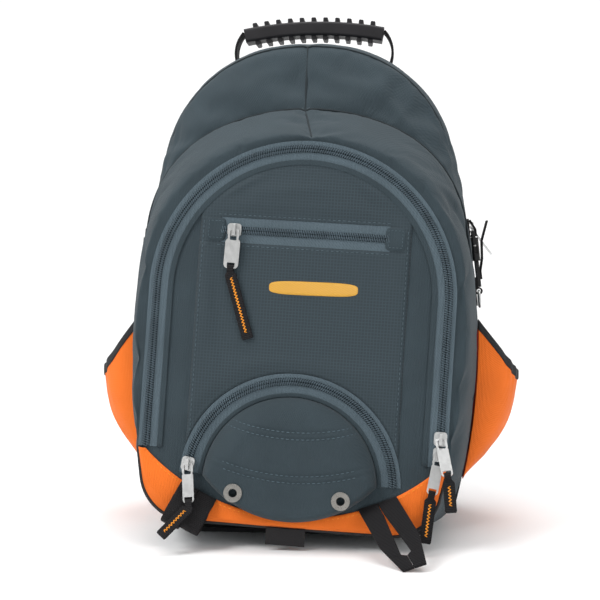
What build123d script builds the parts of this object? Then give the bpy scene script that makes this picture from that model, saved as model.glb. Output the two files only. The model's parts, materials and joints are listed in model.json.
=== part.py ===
from build123d import *
import math
import os

# Hiking backpack, millimetres.
# Origin: centre of the base's underside.  +Z up, the front faces -Y, +X is to the right seen from the front.

# ---- Driving dimensions --------------------------------------------------------------------------

# Main compartment: an arched bag, straight through from the back to the belly, then narrowing to the seam.
BODY_HALF = 172.0
BODY_TOP = 489.0
BODY_TOP_R = 215.0
BODY_SHOULDER_R = 135.0
BODY_SIDE_R = 700.0
BODY_WIDEST_Z = 190.0
BODY_CORNER_R = 38.0
BACK_Y = 112.0
BELLY_Y = 5.0
SEAM_Y = -25.0

# Seam between the main and the front compartment.
SEAM_HALF = 169.0
SEAM_TOP = 420.0
SEAM_TOP_R = 210.0
SEAM_SHOULDER_R = 125.0

# Front face: a flat face that rakes back at its top and hangs a little off level, as a soft front does.
FRONT_Y = -120.0
FRONT_RAKE = 5.0
FRONT_LEAN = 3.4
FRONT_SHIFT = -12.0
FRONT_HALF = 154.0
FRONT_TOP = 389.0
FRONT_TOP_R = 168.0
FRONT_SHOULDER_R = 142.0
FRONT_FLOOR = 20.0
FRONT_CORNER_R = 46.0

# Base, back panel, frame sheet and pads.
BASE_T = 4.0
BASE_INSET = 14.0
SHEET_T = 1.5
SHEET_INSET = 22.0
BACK_PANEL_T = 6.0
BACK_PANEL_INSET = 6.0
PAD_T = 12.0
PAD_W = 92.0
PAD_H = 205.0
PAD_GAP = 34.0
PAD_ROUND = 9.0
LUMBAR_W = 200.0
LUMBAR_H = 95.0
PAD_BOTTOM = 45.0

# Shoulder straps and what they end in.
STRAP_W = 62.0
STRAP_T = 14.0
STRAP_TOP_X = 62.0
STRAP_TOP_Z = 452.0
STRAP_LOW_X = 118.0
STRAP_LOW_Z = 178.0
STRAP_STAND = 44.0
STRAP_BOW = 0.8
LOCK_W = 36.0
LOCK_H = 30.0
LOCK_T = 4.0
LOCK_BAR = 5.0
LOCK_DROP = 1.3
LOWER_WEB_W = 25.0
LOWER_WEB_T = 1.6
ANCHOR_Z = 40.0
ANCHOR_H = 34.0

# Zips: two tapes with a gap of coil between them, coil on top.
TAPE_T = 0.8
TAPE_OUT_W = 4.0
TAPE_IN_W = 11.0
COIL_W = 7.0
COIL_T = 2.2
LOWER_SLIDER_Z = 100.0
SLIDER_SPACE = 1.5

# Tall arched zip of the front compartment, in the front face's own axes.
ARCH_HALF = 138.0
ARCH_TOP = 378.0
ARCH_FOOT = 88.0

# Half-moon pocket and its zip, a true arc about (0, MOON_Z) of the front face.
MOON_R = 97.0
MOON_Z = 61.0
MOON_END_DEG = 3.0
MOON_STOP = 2.0
MOON_DEPTH = 17.0
MOON_DROP = 27.0
MOON_ROUND = 12.0

# Horizontal zipped pocket in the centre panel.
PANEL_HALF = 100.0
PANEL_TOP_Z = 352.0
PANEL_LOW_Z = 70.0
PANEL_T = 1.0
WINDOW_Z = 297.0
WINDOW_HALF = 80.0
WINDOW_H = 24.0

# Orange corner trim along the foot of the front face.
TRIM_TIP_X = 138.0
TRIM_TIP_Z = 86.0
TRIM_MID_Z = 31.0
TRIM_T = 1.0

# Slider, puller and webbing tab.
SLIDER_W = 12.0
SLIDER_L = 13.0
SLIDER_PLATE_T = 1.5
SLIDER_ROUND = 3.0
POST_Y = 4.4
POST_L = 2.0
BRIDGE_W = 3.0
BRIDGE_T = 1.6
BRIDGE_GAP = 3.6
PULL_T = 2.0
PULL_BAR = 2.0
PULL_EYE_W = 10.5
PULL_WINDOW_W = 6.4
PULL_WINDOW_L = 9.0
PULL_L = 38.0
PULL_W = 10.5
PULL_WIDE_W = 14.0
PULL_SLOT_W = 7.4
PULL_SLOT_L = 3.6
TAB_W = 11.0
TAB_T = 2.6
TAB_LOOP_W = 6.4
TAB_LOOP_T = 1.2
TAB_NECK = 5.6
TAB_ROUND = 1.5

# Eyelets in the half-moon pocket.
EYELET_R = 4.0
EYELET_WALL = 1.2
EYELET_FLANGE_R = 8.6
EYELET_FLANGE_T = 1.0
EYELET_L = 5.0
EYELET_X = 50.0
EYELET_Z = 52.0
EYELET_WELL = 12.0

# Webbing loops at the front corners: one strap, two legs side by side.
LOOP_WEB_W = 19.0
LOOP_WEB_T = 1.8
LOOP_SEAM_X = 84.0
LOOP_SEAM_Z = 50.0
LOOP_TURN = 23.0
LOOP_REACH_X = 34.0
LOOP_REACH_Y = 66.0
LOOP_BEND_SHARE = 0.55
LOOP_TIP_SHARE = 0.55
LOOP_SLOT_TOP = 0.2
LOOP_SLOT_LOW = 0.77
LOOP_SLIT = 0.6
LOOP_DROP = 40.0
LOOP_CURL_R = 9.0
LOOP_SEAM_L = 8.0

# Blank label tag under the front edge.
TAG_W = 37.0
TAG_H = 16.0
TAG_T = 0.8
TAG_TUCK = 1.0

# Side pockets.
POCKET_BULGE = 38.0
POCKET_WALL = 2.0
POCKET_FRONT_Y = -22.0
POCKET_REAR_Y = 88.0
POCKET_BELLY_Z = 122.0
POCKET_LOW_Z = 40.0
POCKET_TOP_Z = 212.0
POCKET_MOUTH_SLOPE = 52.0
POCKET_LEAN_IN = 14.0
POCKET_OVERRUN = 8.0
BINDING_H = 11.0

# Compression straps with side-release buckles, on the sides of the bag.
BUCKLE_Y = 32.0
BUCKLE_SPLIT_Z = 268.0
BUCKLE_W = 27.0
BUCKLE_T = 7.0
FEMALE_L = 24.0
MALE_L = 27.0
EYE_L = 7.0
LADDER_HEAD = 8.0
PRONG_L = 15.0
SIDE_WEB_W = 19.0
SIDE_WEB_T = 1.5
SIDE_WEB_LOW_Z = 222.0
SIDE_WEB_TOP_Z = 312.0
TAIL_DROP = 13.5
TAIL_RISE = 40.0

# Grab handle.
GRIP_L = 150.0
GRIP_H = 15.0
GRIP_D = 28.0
GRIP_Z = BODY_TOP + 30.0
GRIP_CROWN = 7.0
GRIP_ROUND = 3.0
RIB_ROUND = 1.2
RIB_W = 5.0
RIB_H = 4.5
RIB_ROWS = 11
RISER_X = 78.0
RISER_BOW = 7.0
RISER_W = 20.0
RISER_T = 2.6
HANDLE_Y = 98.0

# Rear zip of the main compartment, on the gusset behind the crest.
MAIN_ZIP_Y = 74.0
MAIN_ZIP_LOW_Z = 222.0
MAIN_SLIDER_Z = 288.0

# Ring at the mouth of the right pocket.
RING_R = 8.0
RING_WIRE_R = 1.3
RING_Y = 8.0
RING_Z = 238.0
RING_TAB_W = 6.0
RING_TAB_T = 1.6
RING_TAB_L = 14.0

# Clearances.
SOFT_GAP = 0.3
RING_GAP = 0.9
ZIP_GAP = 0.3
PIVOT_GAP = 0.6
ARC_SLACK = 0.5
SNAP_GAP = 0.4

nodes = {}


# ---- Planes --------------------------------------------------------------------------------------

def depth_plane(y):
    """Upright plane at the given depth: local x is +X, local y is +Z, the normal faces the front."""
    return Plane(origin=(0, y, 0), x_dir=(1, 0, 0), z_dir=(0, -1, 0))


def make_front_plane():
    """The front face's plane: raked back at the top, then leaned clockwise as seen from the front."""
    rake = math.radians(FRONT_RAKE)
    lean = math.radians(FRONT_LEAN)
    up = Vector(0, math.sin(rake), math.cos(rake))
    across = Vector(1, 0, 0) * math.cos(lean) - up * math.sin(lean)
    normal = Vector(0, -math.cos(rake), math.sin(rake))
    return Plane(origin=(FRONT_SHIFT, FRONT_Y, 0), x_dir=across, z_dir=normal)


front_plane = make_front_plane()


def on_plane(plane, x, y, z=0.0, turn=0.0):
    """A plane parallel to another, moved to its local point and turned about its normal."""
    spot = plane.location * Location((x, y, z), (0, 0, turn))
    return Plane(spot)


def side_sign(side):
    """+1 for the right side, -1 for the left."""
    return 1 if side == "right" else -1


# ---- Arched outlines -----------------------------------------------------------------------------

def unit(x, y):
    """The vector scaled to a length of one."""
    length = math.hypot(x, y)
    return x / length, y / length


def circles_meet(ax, ay, ar, bx, by, br):
    """The upper crossing of two circles."""
    dx, dy = bx - ax, by - ay
    apart = math.hypot(dx, dy)
    along = (ar * ar - br * br + apart * apart) / (2 * apart)
    off = math.sqrt(ar * ar - along * along)
    ux, uy = dx / apart, dy / apart
    first = (ax + along * ux - off * uy, ay + along * uy + off * ux)
    second = (ax + along * ux + off * uy, ay + along * uy - off * ux)
    return max(first, second, key=lambda point: point[1])


def arc_between(centre, radius, start, end):
    """Arc about a centre from the direction of one point to the direction of another, the short way."""
    sx, sy = unit(start[0] - centre[0], start[1] - centre[1])
    ex, ey = unit(end[0] - centre[0], end[1] - centre[1])
    mx, my = unit(sx + ex, sy + ey)
    p = [(centre[0] + radius * u, centre[1] + radius * v) for u, v in ((sx, sy), (mx, my), (ex, ey))]
    return ThreePointArc(*p)


def mirrored(point):
    """The same point on the other side of the middle line."""
    return -point[0], point[1]


def arch_sketch(half, top, top_r, shoulder_r, side_r, widest, floor, corner_r, grow=0.0):
    """Arch of tangent arcs: top, shoulders, long bowed sides and round bottom corners, grown evenly."""
    side_c = (half - side_r, widest)
    top_c = (0.0, top - top_r)
    shoulder_c = circles_meet(*side_c, side_r - shoulder_r, *top_c, top_r - shoulder_r)
    corner_y = floor + corner_r
    corner_x = side_c[0] + math.sqrt((side_r - corner_r) ** 2 - (corner_y - widest) ** 2)
    corner_c = (corner_x, corner_y)
    reach = shoulder_r + grow
    bend = corner_r + grow
    ux, uy = unit(shoulder_c[0] - side_c[0], shoulder_c[1] - side_c[1])
    side_end = (shoulder_c[0] + reach * ux, shoulder_c[1] + reach * uy)
    ux, uy = unit(shoulder_c[0] - top_c[0], shoulder_c[1] - top_c[1])
    top_end = (shoulder_c[0] + reach * ux, shoulder_c[1] + reach * uy)
    ux, uy = unit(corner_c[0] - side_c[0], corner_c[1] - side_c[1])
    side_start = (corner_c[0] + bend * ux, corner_c[1] + bend * uy)
    foot = (corner_c[0], floor - grow)
    right = [
        arc_between(corner_c, bend, foot, side_start),
        arc_between(side_c, side_r + grow, side_start, side_end),
        arc_between(shoulder_c, reach, side_end, top_end),
    ]
    crown = ThreePointArc(top_end, (0, top + grow), mirrored(top_end))
    left = [
        arc_between(mirrored(shoulder_c), reach, mirrored(top_end), mirrored(side_end)),
        arc_between(mirrored(side_c), side_r + grow, mirrored(side_end), mirrored(side_start)),
        arc_between(mirrored(corner_c), bend, mirrored(side_start), mirrored(foot)),
    ]
    floor_line = Line(mirrored(foot), foot)
    return make_face(right + [crown] + left + [floor_line])


def body_arch(grow=0.0):
    """Outline of the main compartment, standing on the base panel."""
    return arch_sketch(BODY_HALF, BODY_TOP, BODY_TOP_R, BODY_SHOULDER_R, BODY_SIDE_R,
                       BODY_WIDEST_Z, BASE_T, BODY_CORNER_R, grow)


def seam_arch(grow=0.0):
    """Outline at the seam between the two compartments."""
    return arch_sketch(SEAM_HALF, SEAM_TOP, SEAM_TOP_R, SEAM_SHOULDER_R, BODY_SIDE_R,
                       BODY_WIDEST_Z, BASE_T, BODY_CORNER_R, grow)


def front_arch(grow=0.0):
    """Outline of the front face, in the front plane's own axes."""
    return arch_sketch(FRONT_HALF, FRONT_TOP, FRONT_TOP_R, FRONT_SHOULDER_R, BODY_SIDE_R,
                       BODY_WIDEST_Z, FRONT_FLOOR, FRONT_CORNER_R, grow)


def stadium_arch(half, top, foot, grow=0.0):
    """Round-topped arch with upright legs, open at its foot, grown evenly on its sides and top."""
    spring = top - half
    wide = half + grow
    legs = [Line((-wide, foot), (wide, foot)), Line((wide, foot), (wide, spring))]
    crown = ThreePointArc((wide, spring), (0, top + grow), (-wide, spring))
    return make_face(legs + [crown, Line((-wide, spring), (-wide, foot))])


def slab(plane, sketch, thickness, start=0.0):
    """The sketch laid on the plane, raised by start, and given a thickness along the normal."""
    base = Plane(origin=plane.origin + plane.z_dir * start, x_dir=plane.x_dir, z_dir=plane.z_dir)
    return extrude(base * sketch, amount=thickness, dir=plane.z_dir)


def box(x0, x1, y0, y1, z0, z1):
    """A plain block between two corners."""
    return Pos((x0 + x1) / 2, (y0 + y1) / 2, (z0 + z1) / 2) * Box(x1 - x0, y1 - y0, z1 - z0)


# ---- Bag: compartments, base, trim ---------------------------------------------------------------

def main_compartment():
    """Straight arch from the back to the belly, then lofted down to the seam with the front compartment."""
    rear = slab(depth_plane(BACK_Y), body_arch(), BACK_Y - BELLY_Y)
    nose = loft([depth_plane(BELLY_Y) * body_arch(), depth_plane(SEAM_Y) * seam_arch()])
    return rear + nose


def front_compartment():
    """Lofted from the seam to the raked front face."""
    return loft([depth_plane(SEAM_Y) * seam_arch(), front_plane * front_arch()])


def base_panel():
    """Flat black panel under the bag, the face that it stands on."""
    half = BODY_HALF - BODY_CORNER_R - BASE_INSET
    rear = BACK_Y - BASE_INSET
    front = SEAM_Y - 2 * BASE_INSET
    panel = box(-half, half, front, rear, 0, BASE_T)
    return fillet(panel.edges().filter_by(Axis.Z), BASE_INSET)


def moon_outline(grow=0.0):
    """Half-moon: the zip's arc above, a shallow drooping arc below, as a face about the arc's centre."""
    radius = MOON_R + grow
    end = math.radians(MOON_END_DEG)
    right = (radius * math.cos(end), radius * math.sin(end))
    crown = ThreePointArc(right, (0, radius), mirrored(right))
    droop = ThreePointArc(mirrored(right), (0, -MOON_DROP), right)
    return make_face([crown, droop])


moon_plane = on_plane(front_plane, 0, MOON_Z)


def moon_inset():
    """How far the half-moon's cloth stays inside the coil's centre line."""
    return COIL_W / 2 + TAPE_IN_W + SOFT_GAP


def eyelet_places():
    """The two eyelets' centres, in the front face's axes."""
    return [(side * EYELET_X, EYELET_Z) for side in (-1, 1)]


def moon_pocket():
    """Puffed half-moon pocket with its rim rounded, and a well behind each eyelet."""
    puff = slab(moon_plane, moon_outline(-moon_inset()), MOON_DEPTH)
    top_face = puff.faces().sort_by(Axis(moon_plane.origin, moon_plane.z_dir))[-1]
    puff = fillet(top_face.edges(), MOON_ROUND)
    well_r = EYELET_R + EYELET_WALL + SOFT_GAP
    for x, z in eyelet_places():
        well = slab(on_plane(front_plane, x, z), Circle(well_r), EYELET_WELL, MOON_DEPTH - EYELET_WELL)
        puff -= well
    return puff


def eyelets():
    """Two rolled grommets: a short tube with a flange on the outside of the cloth."""
    rings = []
    for x, z in eyelet_places():
        spot = on_plane(front_plane, x, z)
        tube = slab(spot, Circle(EYELET_R + EYELET_WALL), EYELET_L, MOON_DEPTH - EYELET_L + EYELET_FLANGE_T)
        flange = slab(spot, Circle(EYELET_FLANGE_R), EYELET_FLANGE_T, MOON_DEPTH)
        hole = slab(spot, Circle(EYELET_R), 2 * EYELET_L, MOON_DEPTH - EYELET_L)
        rings.append(tube + flange - hole)
    return Compound(children=rings)


def trim_circle_y():
    """Height and radius of the circle that cuts the trim's upper edge through its tips and middle."""
    rise = TRIM_TIP_Z - TRIM_MID_Z
    radius = (TRIM_TIP_X ** 2 + rise ** 2) / (2 * rise)
    return TRIM_MID_Z + radius, radius


def corner_trim():
    """Crescent along the foot of the front face, pointed at both upper corners."""
    centre, radius = trim_circle_y()
    below = Pos(0, TRIM_TIP_Z / 2) * Rectangle(2 * FRONT_HALF, TRIM_TIP_Z)
    crescent = (front_arch() & below) - Pos(0, centre) * Circle(radius)
    return slab(front_plane, crescent, TRIM_T)


def centre_panel():
    """Grid-woven panel on the front face, with the zip's window cut through it."""
    panel = stadium_arch(ARCH_HALF, ARCH_TOP, ARCH_FOOT, -(COIL_W / 2 + TAPE_IN_W + SOFT_GAP))
    inner = Pos(0, (PANEL_TOP_Z + PANEL_LOW_Z) / 2)
    panel = panel & inner * Rectangle(2 * PANEL_HALF, PANEL_TOP_Z - PANEL_LOW_Z)
    window = Pos(0, WINDOW_Z) * Rectangle(2 * WINDOW_HALF, WINDOW_H)
    moon = Pos(0, MOON_Z) * Circle(MOON_R + COIL_W / 2 + TAPE_OUT_W + SOFT_GAP)
    return slab(front_plane, panel - window - moon, PANEL_T)


def label_tag():
    """Blank black tag hanging from the seam under the front edge."""
    spot = on_plane(front_plane, 0, FRONT_FLOOR - TAG_H / 2 + TAG_TUCK, TRIM_T + SOFT_GAP)
    return slab(spot, Rectangle(TAG_W, TAG_H), TAG_T)


nodes["main_compartment"] = main_compartment()
nodes["front_compartment"] = front_compartment()
nodes["base_panel"] = base_panel()
nodes["half_moon_pocket"] = moon_pocket()
nodes["eyelets"] = eyelets()
nodes["corner_trim"] = corner_trim()
nodes["centre_panel"] = centre_panel()
nodes["label_tag"] = label_tag()


# ---- Back: frame sheet, panel, pads --------------------------------------------------------------

def frame_sheet():
    """Stiff plastic sheet between the bag and the padded back panel."""
    return slab(depth_plane(BACK_Y + SHEET_T), body_arch(-SHEET_INSET), SHEET_T)


def back_panel():
    """Foam-cored panel over the frame sheet."""
    return slab(depth_plane(BACK_Y + SHEET_T + BACK_PANEL_T), body_arch(-BACK_PANEL_INSET), BACK_PANEL_T)


def back_face_y():
    """Depth of the back panel's outer face."""
    return BACK_Y + SHEET_T + BACK_PANEL_T


def back_pads():
    """Two upright pads with an air channel between them, and a lumbar pad below."""
    y0 = back_face_y()
    y1 = y0 + PAD_T
    low = PAD_BOTTOM + LUMBAR_H + PAD_GAP / 2
    blocks = [box(-LUMBAR_W / 2, LUMBAR_W / 2, y0, y1, PAD_BOTTOM, PAD_BOTTOM + LUMBAR_H)]
    for side in (-1, 1):
        middle = side * (PAD_GAP + PAD_W) / 2
        blocks.append(box(middle - PAD_W / 2, middle + PAD_W / 2, y0, y1, low, low + PAD_H))
    pads = []
    for block in blocks:
        pad = fillet(block.edges().filter_by(Axis.Y), 2 * PAD_ROUND)
        outer = pad.faces().sort_by(Axis.Y)[-1]
        pads.append(fillet(outer.edges(), PAD_ROUND))
    return Compound(children=pads)


nodes["frame_sheet"] = frame_sheet()
nodes["back_panel"] = back_panel()
nodes["back_pads"] = back_pads()


# ---- Shoulder straps -----------------------------------------------------------------------------

def strap_front_view(side):
    """The strap seen from behind: a band that runs down and bows outward to its lower end."""
    s = side_sign(side)
    top = (s * STRAP_TOP_X, STRAP_TOP_Z)
    low = (s * STRAP_LOW_X, STRAP_LOW_Z)
    bow = (s * (STRAP_TOP_X + STRAP_BOW * (STRAP_LOW_X - STRAP_TOP_X)), (STRAP_TOP_Z + STRAP_LOW_Z) / 2)
    line = ThreePointArc(top, bow, low)
    return trace(line, STRAP_W)


def strap_side_view():
    """The strap seen from the side: an arc that stands off the back and returns to it."""
    y0 = back_face_y() + STRAP_T / 2 + SOFT_GAP
    low_y = y0 + PAD_T + SOFT_GAP
    middle = (y0 + STRAP_STAND - STRAP_T, (STRAP_TOP_Z + STRAP_LOW_Z) / 2)
    line = ThreePointArc((y0, STRAP_TOP_Z), middle, (low_y, STRAP_LOW_Z))
    return trace(line, STRAP_T)


def shoulder_strap(side):
    """Padded strap: the front view carried through the depth, kept where the side view has it."""
    deep = 2 * STRAP_STAND
    band = slab(depth_plane(back_face_y() + deep), strap_front_view(side), deep)
    wide = Plane(origin=(-BODY_HALF, 0, 0), x_dir=(0, 1, 0), z_dir=(1, 0, 0))
    curve = slab(wide, strap_side_view(), 2 * BODY_HALF)
    return band & curve


def lock_y():
    """Depth of the ladder lock's middle, behind the lower end of the strap."""
    return back_face_y() + PAD_T + STRAP_T / 2 + 2 * SOFT_GAP


def ladder_lock(side):
    """Frame with two slots: the upper holds the padded strap's webbing, the lower grips the adjuster."""
    x = side_sign(side) * STRAP_LOW_X
    top = STRAP_LOW_Z - LOCK_DROP
    y = lock_y()
    plate = box(x - LOCK_W / 2, x + LOCK_W / 2, y - LOCK_T / 2, y + LOCK_T / 2, top - LOCK_H, top)
    slot_h = (LOCK_H - 3 * LOCK_BAR) / 2
    slot_w = LOWER_WEB_W + 2 * PIVOT_GAP
    for row in range(2):
        low = top - LOCK_BAR - slot_h - row * (slot_h + LOCK_BAR)
        plate -= box(x - slot_w / 2, x + slot_w / 2, y - LOCK_T, y + LOCK_T, low, low + slot_h)
    return plate


def web_run(points, width, thickness, plane):
    """Flat webbing: a line of straight runs in a plane, given a thickness there and a width across it."""
    return slab(plane, trace(Polyline(*points), thickness), width)


def lower_strap(side):
    """Adjusting webbing from the ladder lock's lower slot down to the anchor at the base."""
    x = side_sign(side) * STRAP_LOW_X
    plane = Plane(origin=(x - LOWER_WEB_W / 2, 0, 0), x_dir=(0, 1, 0), z_dir=(1, 0, 0))
    slot_h = (LOCK_H - 3 * LOCK_BAR) / 2
    slot_z = STRAP_LOW_Z - LOCK_DROP - LOCK_H + LOCK_BAR + slot_h / 2
    behind = lock_y() + LOCK_T / 2 + PIVOT_GAP + LOWER_WEB_T / 2
    before = lock_y() - LOCK_T / 2 - PIVOT_GAP - LOWER_WEB_T / 2
    anchor_y = back_face_y() + LOWER_WEB_T + SOFT_GAP + LOWER_WEB_T / 2
    runs = [(anchor_y, ANCHOR_Z + ANCHOR_H / 2), (anchor_y, ANCHOR_Z + ANCHOR_H + LOCK_H)]
    return web_run(runs + [(before, slot_z - LOCK_BAR - slot_h), (before, slot_z), (behind, slot_z),
                           (behind, slot_z - LOCK_H)], LOWER_WEB_W, LOWER_WEB_T, plane)


nodes["ladder_locks"] = Compound(children=[ladder_lock("left"), ladder_lock("right")])
for side in ("left", "right"):
    nodes["shoulder_strap_" + side] = shoulder_strap(side)
    nodes["lower_strap_" + side] = lower_strap(side)


def strap_anchor(side):
    """Stitched tab of webbing on the back panel's lower corner, under the adjusting webbing's end."""
    x = side_sign(side) * STRAP_LOW_X
    y = back_face_y()
    return box(x - LOWER_WEB_W / 2, x + LOWER_WEB_W / 2, y, y + LOWER_WEB_T, ANCHOR_Z, ANCHOR_Z + ANCHOR_H)


nodes["strap_anchors"] = Compound(children=[strap_anchor("left"), strap_anchor("right")])


# ---- Zips ----------------------------------------------------------------------------------------

def zip_bands(outline, plane):
    """Tapes and coil of a zip that follows outline(grow) on a plane: narrow tape outside, wide one inside."""
    half = COIL_W / 2
    outer = outline(half + TAPE_OUT_W) - outline(half)
    inner = outline(-half) - outline(-half - TAPE_IN_W)
    tapes = Compound(children=[slab(plane, outer, TAPE_T), slab(plane, inner, TAPE_T)])
    coil = slab(plane, outline(half) - outline(-half), TAPE_T + COIL_T)
    return tapes, coil


def front_zip_outline(grow):
    """The tall arch."""
    return stadium_arch(ARCH_HALF, ARCH_TOP, ARCH_FOOT, grow)


def moon_zip_outline(grow):
    """The half-moon's arc, cut level just above its centre."""
    foot = MOON_R * math.sin(math.radians(MOON_END_DEG))
    above = Pos(0, foot + MOON_R) * Rectangle(4 * MOON_R, 2 * MOON_R)
    return Circle(MOON_R + grow) & above


nodes["front_zip_tape"], nodes["front_zip_coil"] = zip_bands(front_zip_outline, front_plane)
nodes["moon_zip_tape"], nodes["moon_zip_coil"] = zip_bands(moon_zip_outline, moon_plane)


def panel_zip():
    """Straight zip in the centre panel's window, two equal tapes."""
    spot = on_plane(front_plane, 0, WINDOW_Z)
    tape_h = (WINDOW_H - COIL_W) / 2
    tapes = []
    for side in (-1, 1):
        strip = Pos(0, side * (COIL_W + tape_h) / 2) * Rectangle(2 * WINDOW_HALF, tape_h)
        tapes.append(slab(spot, strip, TAPE_T))
    coil = slab(spot, Rectangle(2 * WINDOW_HALF, COIL_W), TAPE_T + COIL_T)
    return Compound(children=tapes), coil


nodes["panel_zip_tape"], nodes["panel_zip_coil"] = panel_zip()


def main_zip():
    """Rear zip: bands laid on the gusset, over the top and down both sides to the same height."""
    height = BODY_TOP + 2 * COIL_W - MAIN_ZIP_LOW_Z
    above = Pos(0, MAIN_ZIP_LOW_Z + height / 2) * Rectangle(3 * BODY_HALF, height)
    base = body_arch(SOFT_GAP)
    tape = (body_arch(SOFT_GAP + TAPE_T) - base) & above
    chain = (body_arch(SOFT_GAP + TAPE_T + COIL_T) - base) & above
    rear = slab(depth_plane(MAIN_ZIP_Y + COIL_W / 2 + TAPE_IN_W), tape, TAPE_IN_W)
    front = slab(depth_plane(MAIN_ZIP_Y - COIL_W / 2), tape, TAPE_IN_W)
    coil = slab(depth_plane(MAIN_ZIP_Y + COIL_W / 2), chain, COIL_W)
    return Compound(children=[rear, front]), coil


nodes["main_zip_tape"], nodes["main_zip_coil"] = main_zip()


# ---- Sliders, pullers, tabs: local x across, y up the zip, z away from the bag ----

SLIDER_FOOT = TAPE_T + ZIP_GAP
SLIDER_ROOF = TAPE_T + COIL_T + ZIP_GAP
SLIDER_TOP = SLIDER_ROOF + SLIDER_PLATE_T
BAR_Z = SLIDER_TOP + BRIDGE_GAP / 2


def slider(slack=ZIP_GAP, turn=0.0):
    """Slider over the coil, its channel turned to run along the zip, with a bridge for the puller."""
    body = box(-SLIDER_W / 2, SLIDER_W / 2, -SLIDER_L / 2, SLIDER_L / 2, SLIDER_FOOT, SLIDER_TOP)
    body = fillet(body.edges().filter_by(Axis.Z), SLIDER_ROUND)
    half = COIL_W / 2 + slack
    body -= box(-half, half, -SLIDER_L, SLIDER_L, 0, SLIDER_ROOF)
    body = Rot(0, 0, turn) * body
    under = SLIDER_TOP + BRIDGE_GAP
    end = POST_Y + POST_L / 2
    bridge = box(-BRIDGE_W / 2, BRIDGE_W / 2, -end, end, SLIDER_TOP, under + BRIDGE_T)
    bridge = fillet(bridge.edges().filter_by(Axis.X).sort_by(Axis.Z)[-2:], BRIDGE_T / 2)
    clear = end - POST_L
    bridge -= box(-BRIDGE_W, BRIDGE_W, -clear, clear, SLIDER_TOP, under)
    return body + bridge


def puller(width):
    """Flat puller about its own pivot bar: window round the bridge, waisted body, slot for the webbing."""
    eye_l = PULL_WINDOW_L + 2 * PULL_BAR
    eye = Pos(0, -PULL_WINDOW_L / 2) * RectangleRounded(PULL_EYE_W, eye_l, 2 * PULL_BAR)
    low_y = -PULL_L + PULL_BAR / 2
    body_l = PULL_L - PULL_WINDOW_L
    body = Pos(0, low_y + body_l / 2) * RectangleRounded(width, body_l, width / 3)
    window_top = -PULL_BAR / 2
    window = RectangleRounded(PULL_WINDOW_W, PULL_WINDOW_L, PULL_BAR / 2)
    window = Pos(0, window_top - PULL_WINDOW_L / 2) * window
    slot = Pos(0, low_y + PULL_BAR + PULL_SLOT_L / 2) * Rectangle(PULL_SLOT_W, PULL_SLOT_L)
    plate = extrude(eye + body - window - slot, amount=PULL_T / 2, both=True)
    keep = box(-width, width, low_y - 1, PULL_BAR / 2, -PULL_T, PULL_T)
    return plate & keep


def tab(length, bend=0.0):
    """Webbing tab about the puller's bar: a small loop through the slot, then a flat doubled strip."""
    hole = PULL_BAR / math.sqrt(2) + ZIP_GAP
    ring = Cylinder(hole + TAB_LOOP_T, TAB_LOOP_W, rotation=(0, 90, 0))
    ring -= Cylinder(hole, TAB_LOOP_W, rotation=(0, 90, 0))
    neck_y = -(hole + TAB_LOOP_T / 2)
    neck = box(-TAB_LOOP_W / 2, TAB_LOOP_W / 2, -TAB_NECK - TAB_T, neck_y, -TAB_T / 2, TAB_T / 2)
    strip_l = length - TAB_NECK
    strip = Pos(0, -strip_l / 2) * RectangleRounded(TAB_W, strip_l, TAB_ROUND)
    strip = Pos(0, -TAB_NECK, 0) * Rot(0, 0, bend) * extrude(strip, amount=TAB_T / 2, both=True)
    return ring + neck + strip


def pivot_plane(spot, turn, tilt):
    """Where a puller hangs on a slider at spot: turned in the plane of the bag, then tilted away from it."""
    here = spot.location * Location((0, 0, BAR_Z), (0, 0, turn)) * Location((0, 0, 0), (-tilt, 0, 0))
    return Plane(here)


def tab_plane(pull, tilt):
    """Where a tab hangs on a puller's lower bar."""
    bar_y = -PULL_L + PULL_BAR
    return Plane(pull.location * Location((0, bar_y, 0)) * Location((0, 0, 0), (-tilt, 0, 0)))


# Each zip pull: where its slider sits, how its channel turns, its puller's width, turn and tilt, its tab.
SLIDER_PITCH = SLIDER_L + SLIDER_SPACE
moon_end = math.radians(180 - MOON_END_DEG) - (SLIDER_L / 2 + MOON_STOP) / MOON_R


def moon_point(angle, radius=MOON_R):
    """Point on the half-moon's arc."""
    return radius * math.cos(angle), radius * math.sin(angle)


panel_spot = on_plane(front_plane, -WINDOW_HALF + SLIDER_L, WINDOW_Z)
upper_spot = on_plane(front_plane, ARCH_HALF, LOWER_SLIDER_Z + SLIDER_PITCH)
lower_spot = on_plane(front_plane, ARCH_HALF, LOWER_SLIDER_Z)
moon_spot = on_plane(moon_plane, *moon_point(moon_end))


def side_angle(z):
    """Direction, from the centre of the side's long arc, of the point at a height."""
    return math.asin((z - BODY_WIDEST_Z) / BODY_SIDE_R)


def side_plane(side, y, z, out=0.0):
    """Plane on the side of the bag: local y runs up the side, local z points away from the bag."""
    s = side_sign(side)
    angle = side_angle(z)
    reach = BODY_SIDE_R + out
    centre_x = BODY_HALF - BODY_SIDE_R
    x = s * (centre_x + reach * math.cos(angle))
    z_at = BODY_WIDEST_Z + reach * math.sin(angle)
    normal = (s * math.cos(angle), 0, math.sin(angle))
    return Plane(origin=(x, y, z_at), x_dir=(0, s, 0), z_dir=normal)


main_upper_spot = side_plane("right", MAIN_ZIP_Y, MAIN_SLIDER_Z + SLIDER_PITCH, SOFT_GAP)
main_lower_spot = side_plane("right", MAIN_ZIP_Y, MAIN_SLIDER_Z, SOFT_GAP)

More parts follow.
